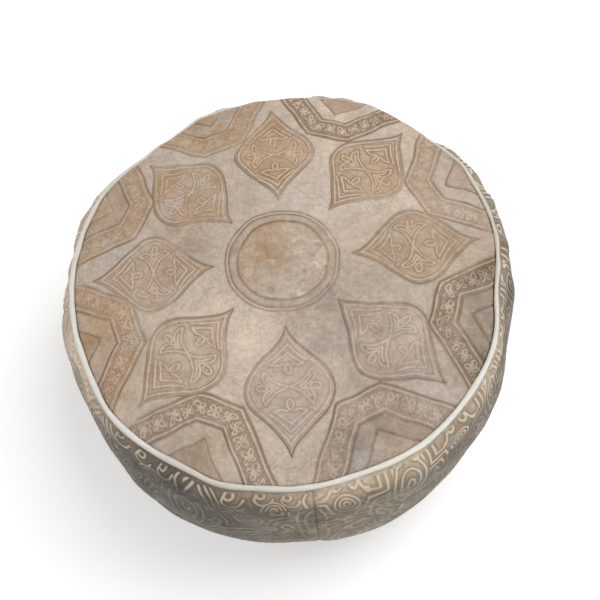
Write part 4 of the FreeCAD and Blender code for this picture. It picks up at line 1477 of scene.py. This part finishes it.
HALVES = ((1, "rear"), (-1, "front"))  # direction along Y and name of each half of the base and the zip
BASE_GRID, TAPE_GRID = (70, 180), (12, 200)
BASE_SWELLS = ((0.7, 60.0, 31),)
BASE_INSET = 0.6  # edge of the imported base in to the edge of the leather
BASE_BEND = 2.8  # that edge in to the bend that turns up
BASE_STEEP, BASE_SOFT = 1.75, 0.64  # slope beyond the bend, and its softness
BASE_HANG = 3.0  # how far the leather hangs between its edges
BASE_GAP, BASE_LEAST = 0.1, 0.05  # half the gap between the halves, and their least width
BASE_ROUND = 0.9995  # share of the half disc's length that is modelled
SLOT_HALF = 7.0  # half the width of the slot for the zip
SLOT_BACK = 3.0  # end of the tape in to the end of the slot
SLOT_SOFT = 1.0
TAPE_RIPPLE, TAPE_WAVE = 0.05, 9.0

STITCH_PITCH, STITCH, THREAD = 4.0, 3.0, 0.8  # from stitch to stitch, length of a stitch, thickness
STITCH_RINGS, STITCH_SIDES = 7, 6
STITCH_SINK = 0.9  # how far the ends of a stitch dive into the leather, in thicknesses
STITCH_ROWS = (-13.0, -9.4, 9.4, 13.0)
STITCH_BACK = 6.0  # end of the tape in to the end of the rows
STITCH_LOW = 0.35  # underside of the base down to the stitches
BRASS_NODES = (
    "zip_teeth_rear", "zip_teeth_front", "zip_top_stops", "zip_bottom_stop", "zip_slider", "zip_pull",
)


def base_surface(toward):
    """Surface of half the base, on the +Y side for 1 or the -Y side for -1.

    Each line across runs from the edge by the zip to the base seam, with its rows closer towards the seam.
    The leather hangs slightly between them, and turns up at the side's sewn edge as d + sqrt(d^2 + soft).
    """
    reach = BASE_HIGH[0] - BASE_INSET
    slot_end = TAPE_HIGH[0] - SLOT_BACK

    def surface(u, v, back):
        """x goes with the sine of u, and y with the sine of v from the zip to the base seam."""
        x = -toward * reach * BASE_ROUND * np.sin(u * math.pi / 2)
        slot = 1 - smooth(np.abs(x), slot_end - SLOT_SOFT, slot_end + SLOT_SOFT)
        near = BASE_GAP + (SLOT_HALF - BASE_GAP) * slot
        far = np.sqrt(reach**2 - x**2)
        share = np.sin((v + 1) * math.pi / 4)
        y = near + np.maximum(far - near, BASE_LEAST) * share
        hang = np.sin(math.pi * share) * (1 - (x / reach) ** 2)
        swelling = swells(np.stack([x, toward * y, np.zeros_like(x)], -1), BASE_SWELLS)
        beyond = np.hypot(x, y) - reach + BASE_BEND
        z = BASE_LOW[2] + hang * (swelling - BASE_HANG) + LEATHER * back
        z = z + BASE_STEEP * (beyond + np.sqrt(beyond**2 + BASE_SOFT)) / 2
        return np.stack([x, toward * y, z], -1), {}

    return surface


def tape_surface(toward):
    """Surface of a zip tape: a flat strip that ripples slightly."""
    (x0, y0, z0), (x1, y1, z1) = TAPE_LOW, TAPE_HIGH

    def surface(u, v, back):
        """u goes along the tape and v across it, away from the teeth."""
        x = -toward * (x0 + x1) / 2 - toward * u * (x1 - x0) / 2
        y = toward * (y0 + (v + 1) / 2 * (y1 - y0))
        ripple = TAPE_RIPPLE * np.sin(x / TAPE_WAVE) * (v + 1) / 2
        return np.stack([x, y, z0 + (z1 - z0) * back + ripple], -1), {}

    return surface


def stitch_row(start, end):
    """Stitches along a straight row: round threads whose ends dive into the leather.

    At s from -1 to 1 along a stitch, its width goes as the root of 1 - s^4, and it dives as s^2.
    """
    start, end = np.array(start, float), np.array(end, float)
    span = np.linalg.norm(end - start)
    ahead = (end - start) / span
    upward = np.array((0.0, 0.0, 1.0))
    middles = start + ahead * ((np.arange(int(span // STITCH_PITCH)) + 0.5) * STITCH_PITCH)[:, None]
    share = np.linspace(-1, 1, STITCH_RINGS)
    turn = np.linspace(0, TURN, STITCH_SIDES, endpoint=False)[:, None]
    width = THREAD / 2 * np.sqrt(np.maximum(1 - share**4, 0.04))
    ring = np.cross(ahead, upward) * np.cos(turn) + upward * np.sin(turn)
    shape = (ahead * (share * STITCH / 2)[:, None])[:, None] + ring[None] * width[:, None, None]
    shape[..., 2] += (THREAD * STITCH_SINK * share**2)[:, None]
    return middles[:, None, None] + shape[None]


def stitches_mesh(name, rows):
    """Rows of stitches as one mesh of closed threads."""
    points = np.concatenate([stitch_row(start, end) for start, end in rows])
    count, rings, sides = points.shape[:3]
    base = np.arange(count)[:, None, None] * rings * sides
    step, last = np.arange(1, sides - 1), (rings - 1) * sides
    near, far = [0 * step, step, step + 1], [0 * step + last, step + 1 + last, step + last]
    caps = base + np.concatenate([np.stack(near, -1), np.stack(far, -1)])
    quads = base + grid_quads(rings, sides, around=True)[:, ::-1]
    return make_mesh(name, points.reshape(-1, 3), quads.reshape(-1, 4), caps.reshape(-1, 3), {})


class POUF_OT_base_panels(bpy.types.Operator):
    """Builds the two halves of the base and the stitching beside the zip"""

    bl_idname = "pouf.base_panels"
    bl_label = "Base"

    def execute(self, context):
        colours = context.scene.pouf_colours
        material = plain_leather("base_leather", colours.base, grain=420.0)
        for toward, node in HALVES:
            mesh = sheet_mesh(f"base_half_{node}", base_surface(toward), *BASE_GRID)
            add_piece(mesh, material, [f"base_panel_{node}"])
        end, level = TAPE_HIGH[0] - STITCH_BACK, BASE_LOW[2] - STITCH_LOW
        mesh = stitches_mesh("zip_stitching", [((-end, y, level), (end, y, level)) for y in STITCH_ROWS])
        thread = woven_cloth("thread", colours.thread, count=2600.0, roughness=0.6)
        add_piece(mesh, thread)
        return {"FINISHED"}


class POUF_OT_zip(bpy.types.Operator):
    """Builds the zip's tapes and finishes its teeth, stops, slider and pull"""

    bl_idname = "pouf.zip"
    bl_label = "Zip"

    def execute(self, context):
        colours = context.scene.pouf_colours
        woven = woven_cloth("zip_tape", colours.tape, count=1900.0, roughness=0.85)
        for toward, node in HALVES:
            mesh = sheet_mesh(f"zip_tape_woven_{node}", tape_surface(toward), *TAPE_GRID)
            add_piece(mesh, woven, [f"zip_tape_{node}"])
        brass = aged_brass(colours.brass)
        for node in BRASS_NODES:
            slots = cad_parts[node].data.materials
            slots.clear()
            slots.append(brass)
        return {"FINISHED"}


# Filling


BAG_CLEAR, BAG_SIDE = 6.0, 13.0  # how far the filling stays under the settled cover, and in from its side
BAG_DRAWN, STUFFING_DRAWN = 0.006, 0.016  # share by which they are drawn in towards the origin
# Soft swells of the bag and of the stuffing, as shares of the distance from the origin
BAG_SWELLS = ((-0.004, 110.0, 41),)
STUFFING_SWELLS = ((-0.004, 110.0, 41), (0.0016, 30.0, 42))
PILLOW_MIDDLE = 0.55  # share of the height at which the filling is widest
PILLOW_PARTS, PILLOW_TURNS = 72, 144


def pillow_mesh(name, low, high, drawn, rows):
    """A stuffed bag about the axis: a superellipse with exponents 2.2 and 2.6, drawn in, with swells."""
    slope = np.linspace(math.pi / 2, -math.pi / 2, PILLOW_PARTS)
    top, belly = high[2] - BAG_CLEAR, high[0] - BAG_SIDE
    middle = PILLOW_MIDDLE * high[2] + (1 - PILLOW_MIDDLE) * low[2]
    tall = np.sign(np.sin(slope)) * np.abs(np.sin(slope)) ** (2 / 2.2)
    radius = belly * np.abs(np.cos(slope)) ** (2 / 2.6)
    height = middle + np.where(tall > 0, top - middle, middle - low[2]) * tall
    angle = np.linspace(0, TURN, PILLOW_TURNS, endpoint=False)
    rings = polar(radius[1:-1, None], angle, height[1:-1, None])
    rings = rings * (1.0 - drawn + swells(rings, rows))[..., None]
    return rings_mesh(name, rings, height[0], height[-1])


class POUF_OT_filling(bpy.types.Operator):
    """Builds the cotton bag and the stuffing in it"""

    bl_idname = "pouf.filling"
    bl_label = "Filling"

    def execute(self, context):
        colours = context.scene.pouf_colours
        mesh = pillow_mesh("cotton_bag", BAG_LOW, BAG_HIGH, BAG_DRAWN, BAG_SWELLS)
        cotton = woven_cloth("bag_cotton", colours.cotton, count=700.0, roughness=0.9)
        add_piece(mesh, cotton, ["inner_bag"])
        mesh = pillow_mesh("fibre_stuffing", STUFFING_LOW, STUFFING_HIGH, STUFFING_DRAWN, STUFFING_SWELLS)
        add_piece(mesh, loose_fibre(colours.stuffing), ["stuffing"])
        return {"FINISHED"}


# Stage


CAMERA_ELEVATION, CAMERA_ROLL = math.radians(63.74), math.radians(6.0)
CAMERA_DISTANCE = 777.8
CAMERA_TARGET = (12.2, -46.4, TOP_HEIGHT)
CAMERA_LENS, CAMERA_SENSOR = 43.8, 36.0
CAMERA_NEAR = 50.0  # nearest distance that it shows
FLOOR_REACH, FLOOR_DROP = 6000.0, 0.3  # how far the floor goes out, and how far it lies down
WORLD_LIGHT = 0.34  # strength of the background as light
# Square lamps: name, place in metres, size and power
LAMPS = (
    ("key", (1.1, 0.3, 2.5), 1.4, 39.4),
    ("fill", (-1.3, -0.5, 2.4), 2.0, 2.0),
    ("front", (1.4, -1.7, 1.3), 1.8, 12.0),
    ("left", (-1.9, 0.4, 0.8), 1.2, 9.0),
)
LAMP_AIM = Vector((0.0, 0.0, 0.2))


def add_lamp(scene, name, place, size, power):
    """A square lamp at place, turned towards the pouf."""
    data = bpy.data.lights.new(name, "AREA")
    data.size, data.energy = size, power
    lamp = bpy.data.objects.new(name, data)
    lamp.location = place
    lamp.rotation_euler = (LAMP_AIM - Vector(place)).to_track_quat("-Z", "Y").to_euler()
    scene.collection.objects.link(lamp)


class POUF_OT_stage(bpy.types.Operator):
    """Sets up the floor, the light and the camera"""

    bl_idname = "pouf.stage"
    bl_label = "Stage"

    def execute(self, context):
        scene = context.scene
        scene.view_settings.view_transform = "Standard"
        corners = np.array([(-1, -1, 0), (1, -1, 0), (1, 1, 0), (-1, 1, 0)]) * FLOOR_REACH
        mesh = make_mesh("floor", corners - (0, 0, FLOOR_DROP), np.array([[0, 1, 2, 3]]), NO_TRIANGLES, {})
        mesh.materials.append(studio_floor(scene.pouf_colours.floor))
        floor = bpy.data.objects.new("floor", mesh)
        scene.collection.objects.link(floor)
        self.world(scene)
        for lamp in LAMPS:
            add_lamp(scene, *lamp)
        self.camera(scene)
        return {"FINISHED"}

    def world(self, scene):
        """White as seen by the camera and in reflections, and soft grey light elsewhere."""
        scene.world = bpy.data.worlds.new("studio")
        scene.world.use_nodes = True
        nodes = Nodes(scene.world.node_tree)
        background = nodes.tree.nodes["Background"]
        nodes.put(background.inputs["Color"], WHITE)
        nodes.put(background.inputs["Strength"], nodes.remap(nodes.seen(), (0.0, 1.0), (WORLD_LIGHT, 1.0)))

    def camera(self, scene):
        """The photograph's camera: above and in front, leaning a little."""
        back = Vector((0.0, -math.cos(CAMERA_ELEVATION), math.sin(CAMERA_ELEVATION)))
        right = Vector((1.0, 0.0, 0.0))
        up = back.cross(right)
        x_axis = math.cos(CAMERA_ROLL) * right - math.sin(CAMERA_ROLL) * up
        y_axis = math.sin(CAMERA_ROLL) * right + math.cos(CAMERA_ROLL) * up
        data = bpy.data.cameras.new("camera")
        data.sensor_width, data.lens, data.clip_start = CAMERA_SENSOR, CAMERA_LENS, CAMERA_NEAR * MM
        camera = bpy.data.objects.new("camera", data)
        turned = Matrix((x_axis, y_axis, back)).transposed().to_4x4()
        place = (Vector(CAMERA_TARGET) + back * CAMERA_DISTANCE) * MM
        camera.matrix_world = Matrix.Translation(place) @ turned
        scene.collection.objects.link(camera)
        scene.camera = camera


# Add-on


GROUPS = {
    "pouf_form": PoufForm,
    "pouf_tooling": PoufTooling,
    "pouf_emboss": PoufEmboss,
    "pouf_colours": PoufColours,
    "pouf_detail": PoufDetail,
}
OPERATORS = (
    POUF_OT_cover,
    POUF_OT_top_panel,
    POUF_OT_piping,
    POUF_OT_side_panels,
    POUF_OT_base_panels,
    POUF_OT_zip,
    POUF_OT_filling,
    POUF_OT_stage,
)


class POUF_PT_panel(bpy.types.Panel):
    """Lists the pieces of the pouf and their sizes"""

    bl_idname = "POUF_PT_panel"
    bl_label = "Leather pouf"
    bl_space_type = "VIEW_3D"
    bl_region_type = "UI"
    bl_category = "Pouf"

    def draw(self, context):
        """A button for each piece, then the settings group by group."""
        for operator in OPERATORS:
            self.layout.operator(operator.bl_idname)
        for name in GROUPS:
            settings = getattr(context.scene, name)
            box = self.layout.box()
            for key in setting_names(settings):
                box.prop(settings, key)


def register():
    """Makes the classes known to Blender, and gives the scene its settings."""
    for cls in (*GROUPS.values(), *OPERATORS, POUF_PT_panel):
        bpy.utils.register_class(cls)
    for name, group in GROUPS.items():
        setattr(bpy.types.Scene, name, PointerProperty(type=group))


def unregister():
    """Takes back what register did."""
    for name in GROUPS:
        delattr(bpy.types.Scene, name)
    for cls in (POUF_PT_panel, *reversed(OPERATORS), *GROUPS.values()):
        bpy.utils.unregister_class(cls)


def main():
    """Builds every piece in order."""
    register()
    bpy.ops.pouf.cover()
    bpy.ops.pouf.top_panel()
    bpy.ops.pouf.piping()
    bpy.ops.pouf.side_panels()
    bpy.ops.pouf.base_panels()
    bpy.ops.pouf.zip()
    bpy.ops.pouf.filling()
    bpy.ops.pouf.stage()
    bpy.context.view_layer.update()


if __name__ == "__main__":
    main()
